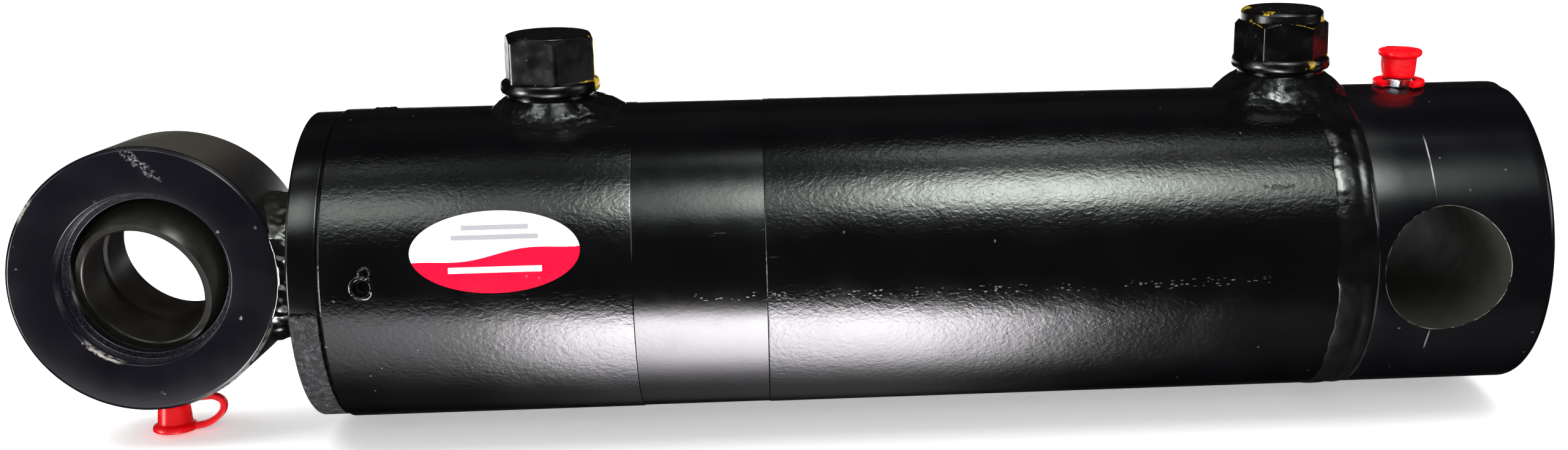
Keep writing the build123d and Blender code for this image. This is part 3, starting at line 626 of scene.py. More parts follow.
def ring_bore(name):
    """Dark, dull coat inside the ball ring."""
    m = Mat(name)
    col = m.mix(m.ramp(m.noise(140, 5.0, 0.65), 0.3, 0.75), (0.0075, 0.0062, 0.0050), (0.014, 0.0125, 0.010))
    col = m.mix(m.math("MULTIPLY", m.specks(420, 0.16, 0.07, 2.0), 0.4), col, (0.12, 0.11, 0.10))
    m.bump(m.noise(900, 4.0, 0.6), 0.000012, 0.7)
    m.set(Base_Color=col, Roughness=m.ramp(m.noise(90, 4.0, 0.6), 0.3, 0.75, 0.34, 0.50))
    m.set(IOR=1.36)
    return m.m


def label_film(name):
    m = Mat(name)
    part = m.attrib("zone")     # 0 white, 1 red, 2 grey bar
    red = m.ramp(part, 0.45, 0.55)
    grey = m.ramp(part, 1.45, 1.55)
    white = m.mix(m.ramp(m.noise(70, 4.0, 0.6), 0.3, 0.8), (0.89, 0.88, 0.89), (0.83, 0.82, 0.84))
    col = m.mix(red, white, (0.72, 0.002, 0.030))
    col = m.mix(grey, col, (0.32, 0.33, 0.35))
    dirt = m.math("MULTIPLY", m.specks(260, 0.12, 0.10, 4.0), 0.4)
    col = m.mix(dirt, col, (0.2, 0.18, 0.18))
    m.bump(m.noise(500, 3.0, 0.5), 0.000006, 0.7)
    m.set(Base_Color=col, Roughness=m.ramp(m.noise(120, 4.0, 0.6), 0.3, 0.75, 0.22, 0.36))
    m.set(Specular_IOR_Level=0.12)
    return m.m


M_TUBE = black_paint("paint_tube", peel=1.0, tube=True)
M_BLOCK = black_paint("paint_block", peel=0.16, rough=0.19, tint=(0.0018, 0.0018, 0.0026), block=True)
M_GLAND = black_paint("paint_gland", peel=0.15, rough=0.17, gland=True)
M_EYE = black_paint("paint_eye", peel=0.20, rough=0.22, tint=(0.0032, 0.0027, 0.0047), eye=True)
M_WELD = weld_paint("paint_weld")
M_BOSS = black_paint("paint_boss", peel=0.5, rough=0.16, dust=0.5)
M_RED = red_plastic("red_cap_plastic")
M_PLUG = plug_paint("plug_black_over_yellow")
M_ZINC = metal("zinc_plate", (0.74, 0.78, 0.84), 0.24, 0.07, 420)
M_CHROME = metal("hard_chrome", (0.82, 0.83, 0.85), 0.07, 0.025, 200, stretch=(0.15, 1, 1), bump=0.000002)
M_BEAR = metal("bearing_phosphate", (0.013, 0.0125, 0.010), 0.24, 0.06, 330, metallic=0.12, bump=0.00001, grime=0.25)
M_STEEL = metal("turned_steel", (0.46, 0.46, 0.47), 0.28, 0.06, 240, stretch=(3, 1, 1), bump=0.00001)
M_NUT = metal("black_oxide", (0.09, 0.09, 0.09), 0.36, 0.06, 300, metallic=0.8)
M_SCREW = metal("painted_screw", (0.012, 0.012, 0.012), 0.30, 0.08, 500, metallic=0.2)
M_BORE = bare_bore("oversprayed_bore")
M_RING_BORE = ring_bore("ball_ring_bore")
M_WIPER = soft("wiper_polyurethane", (0.012, 0.012, 0.013), 0.5)
M_SEAL = soft("seal_polyurethane", (0.04, 0.12, 0.28), 0.42)
M_GUIDE = soft("guide_ring_resin", (0.22, 0.12, 0.04), 0.55, weave=True)
M_NBR = soft("nitrile_rubber", (0.010, 0.010, 0.010), 0.55)
M_PTFE = soft("ptfe_white", (0.72, 0.72, 0.70), 0.4)
M_LABEL = label_film("label_film")

# CAD nodes that stay as they are get their own finish
for node, mat in {
    "gland_lock_screws": M_SCREW, "rod_seal": M_SEAL, "rod_guide_rings": M_GUIDE, "gland_o_ring": M_NBR,
    "gland_backup_ring": M_PTFE, "piston": M_STEEL, "piston_o_ring": M_NBR, "piston_nut": M_NUT, "piston_seal": M_SEAL,
    "piston_guide_ring_front": M_GUIDE, "piston_guide_ring_rear": M_GUIDE, "bearing_retaining_ring": M_NUT,
    "rod_wiper": M_WIPER,
}.items():
    me = NODES[node].data
    me.materials.clear()
    me.materials.append(mat)
    me.polygons.foreach_set("use_smooth", [True] * len(me.polygons))
    me.set_sharp_from_angle(angle=math.radians(28))

# ------------------------------------------------------------------ barrel tube
def radial(x, ang, r):
    """Point at angle ang (degrees above the -Y side) on a cylinder about X, mm."""
    a = math.radians(ang)
    return Vector((x, -r * math.cos(a), r * math.sin(a)))


tube = lathe("barrel_tube", [
    (-347.0, 40.6), (-346.4, 40.0), (-28.0, 40.0), (-28.0, 44.0), (-34.0, 50.0),
    (BAND1, 50.0, 0.12), (BAND1 - 0.25, BAND_R), (BAND0 + 0.25, BAND_R), (BAND0, 50.0, 0.12),
    (-346.2, 50.0, 0.5), (-347.0, 49.2, 0.4)], seg=384)
cuts = [cyl(9.3, (p[0], 0, 30), (p[0], 0, 60)) for p in PORTS.values()]
for k in range(4):
    cuts.append(cyl(2.6, radial(SCREW_X, SCREW_A + 90 * k, 30), radial(SCREW_X, SCREW_A + 90 * k, 60), 48))
cuts.append(cyl(0.35, radial(-332.8, 11.2, 49.0), radial(-332.8, 11.2, 50.8), 24, 1.35))
boolean(tube, cuts)
finish_piece(tube, "barrel", M_TUBE, "black_paint", "cylinder_tube")


# raised, torn lip around each lock-screw hole, and the punch mark beside the front one
def lip(name, x, ang, r0, r1, height, seed, mouth=0.0):
    nu, nv = 96, 14
    P = np.zeros((nu, nv, 3))
    for i in range(nu):
        a = 2 * math.pi * i / nu
        q = np.array([[math.cos(a) * 3 + seed * 11, math.sin(a) * 3, seed]])
        wob = 1 + 0.10 * noise(q, 1.6, 3)[0]
        hh = height * (1 + 0.55 * noise(q, 1.1, 9)[0] + 0.3 * noise(q, 0.5, 5)[0])
        for j in range(nv):
            t = j / (nv - 1)
            rho = r0 + (r1 * wob - r0) * t
            rise = hh * math.sin(math.pi * min(1, (t * 1.15 + 0.10))) ** 0.8 if t < 0.85 else hh * max(0, (1 - t)) * 1.2
            depth = -0.35 if j == 0 or j == nv - 1 else 0.0
            u, v = rho * math.cos(a), rho * math.sin(a)
            r = TUBE_R + rise + depth
            P[i, j] = radial(x + u, ang + math.degrees(v / TUBE_R), r)
    return grid_mesh(name, P, wrap_u=True, wrap_v=True, angle=70)


for k in range(4):
    finish_piece(lip(f"lock_screw_lip_{k+1}", SCREW_X, SCREW_A + 90 * k, 2.62, 4.0, 0.34, k + 1), "barrel", M_WELD, "painted_weld")
finish_piece(lip("punch_mark_lip", -332.8, 11.2, 1.25, 2.2, 0.26, 9), "barrel", M_WELD, "painted_weld")

# ------------------------------------------------------------------ base end block
def dented(h, r, a, i):
    # a small knock on the top edge of the end face
    d = math.hypot((h - 34.0) / 3.5, ((a - math.pi / 2 + 0.06) * BLOCK_R) / 5.0)
    return r - (0.55 * max(0, 1 - d) ** 0.8 if r > 40 and h > 20 else 0)


block = lathe("base_block", [
    (-38.0, 0), (-38.0, 36.0), (-35.0, 39.95), (-28.0, 39.95), (-28.0, 44.0), (-22.0, BLOCK_R), (-12.0, BLOCK_R), (-4.0, BLOCK_R), (-3.70, BLOCK_R),
    (-3.60, BLOCK_R), (-3.4, BLOCK_R - 0.05), (-3.20, BLOCK_R), (-3.10, BLOCK_R), (-2.8, BLOCK_R), (12.0, BLOCK_R), (24.0, BLOCK_R), (29.5, BLOCK_R),
    (BLOCK_X1, BLOCK_R, 3.2), (BLOCK_X1, 44.6), (BLOCK_X1, 40.0), (BLOCK_X1, 0)], seg=512, shape=dented)
notch = cyl(1, (0, 0, 0), (0, 0, 1), 4)
bpy.data.objects.remove(notch)
boolean(block, [cyl(20.0, (0, -60, 0), (0, 60, 0), 160),
                cyl(2.0, (NIPPLE_X, 0, 10), (NIPPLE_X, 0, 44), 32)])
bevelled(block, 0.22, 42, 3)
finish_piece(block, "barrel", M_BLOCK, "black_paint_smooth", "base_end_block")
block.data.materials.append(M_BORE)
for p in block.data.polygons:
    cc = p.center / MM
    if math.hypot(cc.x, cc.z) < 20.06 and math.hypot(cc.y, cc.z) < BLOCK_R - 0.4:
        p.material_index = 1

# ------------------------------------------------------------------ girth weld
def girth():
    nu, nv = 1080, 30
    P = np.zeros((nu, nv + 2, 3))
    th = np.linspace(0, 2 * math.pi, nu, endpoint=False)
    C, S = np.cos(th), np.sin(th)
    ringp = np.stack([C * 50, S * 50, np.zeros(nu)], 1)
    x0 = -35.0 + 0.9 * fbm(ringp, 9, 21) + 0.35 * noise(ringp, 2.2, 5)
    x1 = -21.3 + 0.55 * fbm(ringp + 70, 12, 31)
    amp = 0.75 + 0.5 * noise(ringp, 17, 77)
    for j in range(nv):
        t = j / (nv - 1)
        xx = x0 + (x1 - x0) * t
        base = 50.0 + (BLOCK_R - 50.0) * t
        e = 1 - abs(2 * t - 1) ** 3.2
        chev = th * 50 / 3.1 + 2.3 * (2 * t - 1) ** 2
        p3 = np.stack([xx * 1.0, C * 50, S * 50], 1)
        lum = fbm(p3, 7.5, 41)
        rip = 0.012 * np.sin(2 * math.pi * chev) * amp
        low = 0.45 + 0.55 * np.clip(0.6 + S * 2, 0, 1)
        crown = 0.72 * e * low + 0.20 * e * lum + e * rip
        # a raised toe on the tube side, where the last pass ran up
        toe = 0.42 * math.exp(-((t - 0.22) / 0.15) ** 2) * np.clip(0.30 + 1.0 * fbm(ringp + 13, 9, 55), 0, 1.2) * (0.25 + 0.75 * np.clip(0.5 + S * 1.5, 0, 1))
        dip = -0.32 * math.exp(-((t - 0.62) / 0.10) ** 2) * np.clip(0.6 + fbm(ringp + 33, 14, 56), 0, 1)
        groove = -0.55 * math.exp(-((t - 0.93) / 0.035) ** 2)
        beads = 0.11 * fbm(np.stack([xx * 0.8, C * 50, S * 50], 1), 2.6, 83) * math.exp(-((t - 0.16) / 0.15) ** 2)
        r = np.minimum(base + crown + toe + dip + groove + beads - 0.02, 51.22)
        if j in (0, nv - 1):
            r = np.full(nu, base - 0.12)
        P[:, j] = np.stack([xx, -r * C, r * S], 1)
    P[:, nv] = np.stack([np.full(nu, -23.0), -47.6 * C, 47.6 * S], 1)
    P[:, nv + 1] = np.stack([np.full(nu, -33.0), -47.6 * C, 47.6 * S], 1)
    return grid_mesh("girth_weld", P, wrap_u=True, wrap_v=True, angle=75)


gw = girth()
boolean(gw, [cyl(9.3, (-41.1, 0, 30), (-41.1, 0, 60), 64)])
gw.data.set_sharp_from_angle(angle=math.radians(75))
finish_piece(gw, "barrel", M_WELD, "painted_weld", "base_weld_bead")

# ------------------------------------------------------------------ port bosses, welds and plugs
def port_weld(name, px, top, seed, shift, r_toe):
    nu, nv = 360, 34
    P = np.zeros((nu, nv + 2, 3))
    al = np.linspace(0, 2 * math.pi, nu, endpoint=False)
    C, S = np.cos(al), np.sin(al)
    q = np.stack([C * 20, S * 20, np.full(nu, seed * 7.0)], 1)
    rt = r_toe + shift * C + 1.0 * fbm(q, 11, seed) + 0.5 * noise(q, 3.5, seed + 3)
    rt = np.minimum(rt, 24.6)
    ztop = top - 0.9 + 0.45 * fbm(q + 50, 8, seed + 8)
    for j in range(nv):
        t = j / (nv - 1)
        rho = 13.75 + (rt - 13.75) * t
        xx, yy = px + rho * C, rho * S
        zt = np.sqrt(np.maximum(TUBE_R ** 2 - (rt * S) ** 2, 0))
        zs = np.sqrt(np.maximum(TUBE_R ** 2 - yy ** 2, 0))
        z = zt + (ztop - zt) * (1 - t) ** (1.0 + 0.75 * np.clip(-S, 0, 1) ** 2)
        p3 = np.stack([xx - px, yy, z + seed * 9], 1)
        bell = math.sin(math.pi * t) ** 0.7 if 0 < t < 1 else 0.0
        lum = fbm(p3, 6.0, seed + 12) * 1.25 + 0.75 * noise(p3, 2.4, seed + 15)
        rip = 0.10 * np.sin(al * 20 / 1.25 + 2.2 * t + 0.8 * noise(q, 9, seed + 17))
        seam = -0.55 * math.exp(-((t - 0.48) / 0.07) ** 2) * np.clip(0.5 + fbm(q + 90, 9, seed + 30), 0, 1)
        z = z + bell * (0.05 + 0.45 * C ** 2 + 0.36 * lum + 0.6 * rip) + 0.6 * seam
        z = np.maximum(z, zs + 0.10 * bell)
        if j == nv - 1:
            z = zs - 0.15
        if j == 0:
            z = ztop - 0.2
        P[:, j] = np.stack([xx, yy, z], 1)
    P[:, nv] = np.stack([px + rt * C, rt * S, np.sqrt(np.maximum(TUBE_R ** 2 - (rt * S) ** 2, 0)) - 1.6], 1)
    P[:, nv + 1] = np.stack([px + 13.2 * C, 13.2 * S, np.sqrt(np.maximum(TUBE_R ** 2 - (13.2 * S) ** 2, 0)) - 1.6], 1)
    ob = grid_mesh(name, P, wrap_u=True, wrap_v=True, angle=75)
    return ob


def plug_mesh(name, px, seat, top, shoulder, turn, yellow):
    """Shank, flange, hexagon with a turned head; one grid in angle and height."""
    prof = [(seat - 14.3, 0), (seat - 14.3, 8.0), (seat - 12.9, 8.9)]
    zz = seat - 12.4
    while zz < seat - 0.6:          # shallow moulded thread on the shank
        prof += [(zz, 8.9), (zz + 0.25, 8.55), (zz + 0.9, 8.55), (zz + 1.15, 8.9)]
        zz += 1.8
    prof += [(seat, 8.9), (seat, 15.0), (seat + 0.25, 15.55), (seat + 0.9, 15.85), (seat + 1.9, 15.92), (seat + 2.9, 15.8),
             (seat + 3.5, 15.45), (seat + 3.8, 14.9)]
    n_fl = len(prof)
    z0 = seat + 3.82
    hs = list(np.linspace(z0, shoulder - 0.2, 12)) + list(np.linspace(shoulder, top - 0.35, 26))
    def turned(z):
        if z < shoulder:
            return 99.0
        if z < shoulder + 1.6:
            return 15.65 - (z - shoulder) / 1.6 * 2.15
        t = (z - shoulder - 1.6) / max(0.1, top - shoulder - 1.6)
        return 13.5 - 0.22 * t - 1.25 * max(0, (t - 0.60) / 0.40) ** 2.2
    seg = 720
    rows = []
    for (h, r) in prof:
        rows.append((h, lambda a, r=r: r, 0))
    def hexr(a):
        b = (math.degrees(a) - turn) % 60 - 30
        rr = 13.5 / math.cos(math.radians(b))
        return rr - 0.16 * max(0, (abs(b) - 27.0) / 3.0) ** 2
    for h in hs:
        taper = 0.12 * (h - z0) / 12.0
        rows.append((h, lambda a, h=h, t=taper: min(hexr(a) - t, turned(h)), 1))
    rt = turned(top - 0.35)
    for dr, dz in ((0.22, 0.16), (0.55, 0.28), (0.9, 0.35), (1.6, 0.35), (2.2, 0.30), (6.0, 0.28), (rt, 0.28)):
        rows.append((top - 0.35 + dz, lambda a, r=rt - dr: max(r, 0), 2))
    V, F, W = [], [], []
    n = len(rows)
    for j in range(seg):
        a = 2 * math.pi * j / seg
        for i, (h, fr, kind) in enumerate(rows):
            r = fr(a)
            V.append(((px + r * math.cos(a)) * MM, r * math.sin(a) * MM, h * MM))
    for j in range(seg):
        k = (j + 1) % seg
        for i in range(n - 1):
            F.append((j * n + i, k * n + i, k * n + i + 1, j * n + i + 1))
    ob = make(name, V, F, angle=26)
    c = co(ob)
    ang = np.degrees(np.arctan2(c[:, 1], c[:, 0] - px))
    rr = np.hypot(c[:, 0] - px, c[:, 1])
    wear = np.zeros(len(c))
    # along the curved line where the turned head meets the flats
    hx = np.array([hexr(math.radians(t)) for t in ang])
    tr = np.array([turned(z) for z in c[:, 2]])
    edge = np.exp(-((hx - tr) / 0.24) ** 2) * (c[:, 2] > shoulder - 0.3) * (c[:, 2] < top - 1.0)
    def near(a0, w):
        d = (ang - a0 + 180) % 360 - 180
        return np.exp(-(d / w) ** 2)
    for kind, a0, w, s in yellow:
        if kind == "scallop":
            wear = np.maximum(wear, edge * near(a0, w) * s)
        elif kind == "flange":
            wear = np.maximum(wear, near(a0, w) * s * (rr > 14.8) * (c[:, 2] > seat + 0.3) * (c[:, 2] < seat + 4.2))
        elif kind == "foot":
            wear = np.maximum(wear, near(a0, w) * s * np.exp(-((c[:, 2] - z0 - 0.3) / 0.8) ** 2))
        elif kind == "corner":
            wear = np.maximum(wear, near(a0, w) * s * (c[:, 2] > z0) * (c[:, 2] < top - 0.6))
        elif kind == "rim":
            wear = np.maximum(wear, near(a0, w) * s * (c[:, 2] > top - 1.2) * (rr > 9))
    attr(ob, "wear", wear)
    return ob


YELLOW = {
    "rod_side": [("corner", -17, 3.0, 0.70), ("scallop", -30, 16, 0.60), ("flange", -12, 14, 0.95), ("foot", -30, 26, 0.85), ("flange", 8, 12, 0.75), ("scallop", -75, 16, 0.5)],
    "base_side": [("scallop", -75, 28, 0.80), ("scallop", -140, 24, 0.85), ("scallop", -30, 18, 0.90), ("flange", -14, 9, 1.15),
                  ("rim", 170, 26, 0.72), ("rim", -128, 20, 0.6), ("flange", -70, 22, 0.55)],
}
for side, (px, btop, top, shoulder, turn) in PORTS.items():
    boss = lathe(side + "_boss", [(btop, 9.3, 0.4), (btop, 13.9, 0.5), (44.0, 13.9), (44.0, 9.3)], "Z", (px, 0, 0), 192)
    boolean(boss, [cyl(TUBE_R - 0.3, (px - 40, 0, 0), (px + 40, 0, 0), 256)])
    finish_piece(boss, "barrel", M_BOSS, "painted_weld", side + "_port_boss")
    w = port_weld(side + "_weld", px, btop, 3 if side == "rod_side" else 8, 2.4 if side == "rod_side" else -0.4, 21.6)
    finish_piece(w, "barrel", M_WELD, "painted_weld", side + "_port_weld")
    pl = plug_mesh(side + "_plug", px, btop + 0.3, top, shoulder, turn, YELLOW[side])
    finish_piece(pl, side + "_plug", M_PLUG, "plug_plastic", side + "_port_plug")

# ------------------------------------------------------------------ gland
g = lathe("gland_collar", [
    (-356.5, 28.0, 0.3), (-349.6, 27.6), (-349.6, 22.8), (-343.0, 22.8), (-343.0, 27.5), (-335.0, 27.5), (-335.0, 22.8),
    (-330.0, 22.8), (-330.0, 25.0), (-318.0, 25.0), (-318.0, 22.8), (-308.0, 22.8), (-308.0, 25.0), (-296.0, 25.0),
    (-296.0, 22.8), (-292.3, 22.8), (-292.3, 38.5), (-294.0, 39.95), (-312.0, 39.95), (-312.0, 36.4), (-318.5, 36.4),
    (-318.5, 39.95), (-347.0, 39.95), (-347.0, 48.7, 0.3), (-347.6, 49.3, 0.5), (-355.8, 49.3, 0.7), (-356.5, 48.5, 0.7)], seg=384)
finish_piece(g, "barrel", M_GLAND, "black_paint_smooth", "gland")

# ------------------------------------------------------------------ rod
rod = lathe("chromed_piston_rod", [
    (-365.4, 0), (-365.4, 17.0), (-359.9, 22.5, 0.5), (-94.0, 22.5, 0.5), (-92.0, 21.5), (-92.0, 16.0), (-43.0, 16.0, 0.4),
    (-41.5, 14.5), (-41.5, 0)], seg=256)
finish_piece(rod, "rod", M_CHROME, "chromed_rod", "piston_rod")

# ------------------------------------------------------------------ rod eye
HW = EYE_HW
eye = lathe("rod_eye_ring", [
    (-HW, 27.5, 0.3), (-14.4, 27.0, 0.4), (-14.4, 24.8, 0.35), (-11.0, 24.8), (-11.0, 31.0), (11.0, 31.0), (11.0, 33.0), (13.1, 33.0),
    (13.1, 31.0, 0.2), (HW - 1.0, 31.0, 0.2), (HW, 32.0, 0.3), (HW, EYE_R - 1.1, 0.6), (HW - 1.1, EYE_R, 0.8), (0, EYE_R), (1.1 - HW, EYE_R, 0.8),
    (-HW, EYE_R - 1.1, 0.6), (-HW, 35.0)], "Y", (EYE_X, 0, 0), 512)
finish_piece(turned(eye), "rod", M_EYE, "eye_paint", "rod_eye")


def eye_weld():
    nu, nv = 420, 26
    P = np.zeros((nu, nv + 2, 3))
    th = np.linspace(0, 2 * math.pi, nu, endpoint=False)
    C, S = np.cos(th), np.sin(th)
    q = np.stack([C * 22, S * 22, np.zeros(nu)], 1)
    rt = 24.6 - 1.3 * np.clip(S, 0, 1) ** 2 + 1.0 * fbm(q, 10, 61) + 0.5 * noise(q, 3.4, 62)
    y1 = np.clip(-rt * C, -21.0, 21.0)
    z1 = rt * S
    # the toe lies on the eye's rim, or just over the edge of its flat face
    x1 = EYE_X + np.sqrt(np.maximum(EYE_R ** 2 - z1 ** 2, 1)) - 0.5
    x0 = -359.0 + 0.35 * fbm(q + 30, 6, 63)
    for j in range(nv):
        t = j / (nv - 1)
        s = t ** 0.85
        yy = -22.6 * C * (1 - s) + y1 * s
        zz = 22.6 * S * (1 - s) + z1 * s
        xx = x0 + (x1 - x0) * t
        bell = math.sin(math.pi * t) ** 0.8 if 0 < t < 1 else 0.0
        p3 = np.stack([xx, yy, zz], 1)
        lum = fbm(p3, 6.0, 65)
        rip = 0.05 * np.sin(th * 24 / 1.5 + 2.5 * t) + 0.40 * noise(p3, 2.3, 67)
        bead = 2.6 * np.exp(-((np.mod(th, 2 * math.pi) - 5.50) / 0.20) ** 2) * math.exp(-((t - 0.30) / 0.20) ** 2)
        k = bell * (0.10 + 1.25 * lum + 1.5 * rip) + bead
        P[:, j] = np.stack([xx + 0.25 * k, yy * (1 + k / 24.0), zz * (1 + k / 24.0)], 1)
    P[:, nv] = np.stack([np.minimum(x1 - 1.5, -366.5), y1 * 0.86, z1 * 0.86], 1)
    P[:, nv + 1] = np.stack([np.full(nu, -359.6), -21.6 * C, 21.6 * S], 1)
    return grid_mesh("rod_to_eye_weld", P, wrap_u=True, wrap_v=True, angle=75)


finish_piece(turned(eye_weld()), "rod", M_WELD, "painted_weld", "rod_eye_weld")

# ------------------------------------------------------------------ spherical bearing
def arc(r, h0, h1, n):
    return [(h, math.sqrt(r * r - h * h)) for h in np.linspace(h0, h1, n)]


outer = lathe("bearing_outer", [(-11.0, 31.0 - 0.8), (-10.2, 31.0), (10.2, 31.0), (11.0, 30.2), (11.0, 26.0)] + arc(BALL_R, 8.6, -8.6, 25) + [(-11.0, 26.0)], "Y", (EYE_X, 0, 0), 256)
finish_piece(turned(outer), "rod", M_BEAR, "bearing_steel", "bearing_outer_ring")
inner = lathe("bearing_inner", [(-14.0, 20.55, 0.15), (-13.5, 20.0, 0.15), (-2.1, 20.0), (-1.6, 21.1), (1.6, 21.1), (2.1, 20.0), (13.5, 20.0, 0.15), (14.0, 20.55, 0.15)]
              + [(h, r - 0.0) for h, r in arc(BALL_R - 0.05, 13.9, -13.9, 35)], "Y", (0, 0, 0), 320)
rot = Vector((0, 1, 0)).rotation_difference(ring_axis).to_matrix().to_4x4()
hole = cyl(1.6, (8, 0, -12), (14, 0, -32), 32)
boolean(inner, [hole])
inner_bore = [1 if math.hypot(p.center.x, p.center.z) / MM < 21.25 and abs(p.center.y) / MM < 13.55 else 0 for p in inner.data.polygons]
inner.data.transform(Matrix.Translation(Vector((EYE_X * MM, 0, 0))) @ rot)
finish_piece(turned(inner), "ball_ring", M_BEAR, "bearing_steel", "bearing_inner_ring")
inner.data.materials.append(M_RING_BORE)
inner.data.polygons.foreach_set("material_index", inner_bore)

# ------------------------------------------------------------------ oval label: plain colours, no lettering
def label():
    nr, na = 42, 200
    P = np.zeros((na, nr + 3, 3)); zone = []
    cx, ca, a, b = -293.8, 17.5, 25.5, 12.55
    for i in range(na):
        al = 2 * math.pi * i / na
        for j in range(nr + 3):
            jj = min(j, nr - 1)
            rho = (jj / (nr - 1)) ** 0.9
            r = TUBE_R + 0.13 if j < nr else (TUBE_R + 0.06 if j == nr else TUBE_R + 0.01)
            if j == nr + 2:
                rho = 0.0
            if j == nr - 1:
                r = TUBE_R + 0.12
            u, v = rho * a * math.cos(al), rho * b * math.sin(al)
            P[i, j] = radial(cx + u, ca + math.degrees(v / TUBE_R), r)
    return grid_mesh("oval_label_film", P, wrap_u=True, angle=50)


lab = label()
# finer top face so that the printed division is crisp
m_ = lab.modifiers.new("sub", "SUBSURF"); m_.subdivision_type = "SIMPLE"; m_.levels = m_.render_levels = 2
dg = bpy.context.evaluated_depsgraph_get()
lab.data = bpy.data.meshes.new_from_object(lab.evaluated_get(dg)); lab.modifiers.clear()
c = co(lab)
u = c[:, 0] + 293.8
v = (np.degrees(np.arctan2(c[:, 2], -c[:, 1])) - 17.5) * math.pi / 180 * TUBE_R
e = np.hypot(u / 25.5, v / 12.55)
zone = np.zeros(len(c))
zone[v < -0.9 + 0.075 * u + 1.5 * np.sin(u / 25.5 * math.pi) * np.cos(u / 25.5 * math.pi / 2)] = 1
zone[(np.abs(v + 0.2) < 0.0)] = 0
bars = ((np.abs(v - 7.4) < 0.75) & (np.abs(u) < 10)) | ((np.abs(v - 4.4) < 0.75) & (np.abs(u) < 13))
zone[bars & (v > 0)] = 2
white_bar = (np.abs(v + 5.4) < 0.9) & (np.abs(u) < 14)
zone[white_bar] = 0
zone[(e > 0.965) & (v < -0.9 + 0.075 * u)] = 1
attr(lab, "zone", zone)
finish_piece(lab, "barrel", M_LABEL, "label_film", "oval_label")

# ------------------------------------------------------------------ grease nipples, caps, clips, straps
def nipple(name, x, s, up, turn):
    rows = [(-6.5, 3.3, 0), (-6.0, 3.95, 0), (0.02, 3.95, 0)]
    hexrows = [(0.02, 4.3), (0.25, 5.0), (0.5, 5.3), (1.6, 5.3), (2.3, 5.25), (2.6, 4.75), (2.75, 4.4)]
    top = [(2.75, 3.3), (3.6, 3.0), (4.8, 2.4), (6.0, 2.1), (6.5, 2.5), (7.0, 3.0), (7.6, 3.25), (8.3, 3.2), (9.0, 2.8), (9.5, 2.0), (9.75, 1.2), (9.4, 0.7), (9.4, 0)]
    allr = [(-6.5, 0, 0)] + rows + [(h, r, 1) for h, r in hexrows] + [(h, r, 0) for h, r in top]
    seg = 180
    V, F = [], []
    n = len(allr)
    for j in range(seg):
        a = 2 * math.pi * j / seg
        b = (math.degrees(a) - turn) % 60 - 30
        hx = 4.5 / math.cos(math.radians(b))
        for h, r, k in allr:
            rr = min(r, hx) if k else r
            V.append(((x + rr * math.cos(a)) * MM, rr * math.sin(a) * MM, up * (s + h) * MM))
    for j in range(seg):
        k = (j + 1) % seg
        for i in range(n - 1):
            F.append((j * n + i, k * n + i, k * n + i + 1, j * n + i + 1))
    return make(name, V, F, angle=30)


def cap(name, x, s, up):
    prof = [(0, 3.75), (0.05, 4.7, 0.25), (0.9, 5.05, 0.3), (3.5, 5.30), (6.6, 5.5, 0.5), (6.9, 6.2), (7.25, 6.75), (7.7, 7.02), (8.3, 7.12),
            (8.85, 7.0), (9.15, 6.6), (9.12, 6.0), (8.75, 5.3), (8.45, 4.4), (8.32, 3.0), (8.28, 1.2), (8.28, 0), (7.4, 0), (7.3, 3.0), (6.0, 3.75)]
    ob = lathe(name, prof if up > 0 else prof, "Z", (0, 0, 0), 160, angle=40)
    me = ob.data
    if up < 0:
        me.transform(Matrix.Diagonal((1, -1, -1, 1)))
    me.transform(Matrix.Translation(Vector((x * MM, 0, up * s * MM))))
    return ob


def nub(name, p, r):
    """Small moulded pip on the side of a cap."""
    P = np.zeros((24, 8, 3))
    for i in range(24):
        a = 2 * math.pi * i / 24
        for j in range(8):
            t = j / 7 * math.pi * 0.5
            q = r * math.cos(t)
            P[i, j] = (p[0] + q * math.cos(a), p[1] - r * 0.6 * math.sin(t), p[2] + q * math.sin(a) * 0.8)
    return grid_mesh(name, P, wrap_u=True)


def clip(name, x, s, up, seed, gap=0.0):
    nu = 110
    half = math.radians(38)
    sec = rounded([(0.25, 5.35, 0.25), (0.25, 8.38, 0.45), (2.2, 8.38, 0.45), (2.2, 5.35, 0.25)], 4)
    nv = len(sec)
    P = np.zeros((nu, nv, 3))
    for i in range(nu):
        a = -math.pi / 2 + math.radians(gap) + half + (2 * math.pi - 2 * half) * i / (nu - 1)
        endw = min(i, nu - 1 - i) / 6.0
        k = 1.0 if endw >= 1 else 0.86 + 0.14 * endw
        w = 0.06 * math.sin(3 * a + seed)
        for j, (h, r) in enumerate(sec):
            rr = 6.9 + (r - 6.9) * k + w
            lift = 0.25 * math.sin(a + 0.7 * seed) ** 2
            P[i, j] = (x + rr * math.cos(a), rr * math.sin(a), up * (s + h * (1 if k == 1 else 0.97) + lift * 0.4))
    ob = grid_mesh(name, P, wrap_v=True, angle=45)
    bm = bmesh.new(); bm.from_mesh(ob.data)
    bmesh.ops.holes_fill(bm, edges=[e for e in bm.edges if e.is_boundary], sides=0)
    bmesh.ops.recalc_face_normals(bm, faces=bm.faces)
    bm.to_mesh(ob.data); bm.free()
    ob.data.polygons.foreach_set("use_smooth", [True] * len(ob.data.polygons))
    ob.data.set_sharp_from_angle(angle=math.radians(45))
    return ob


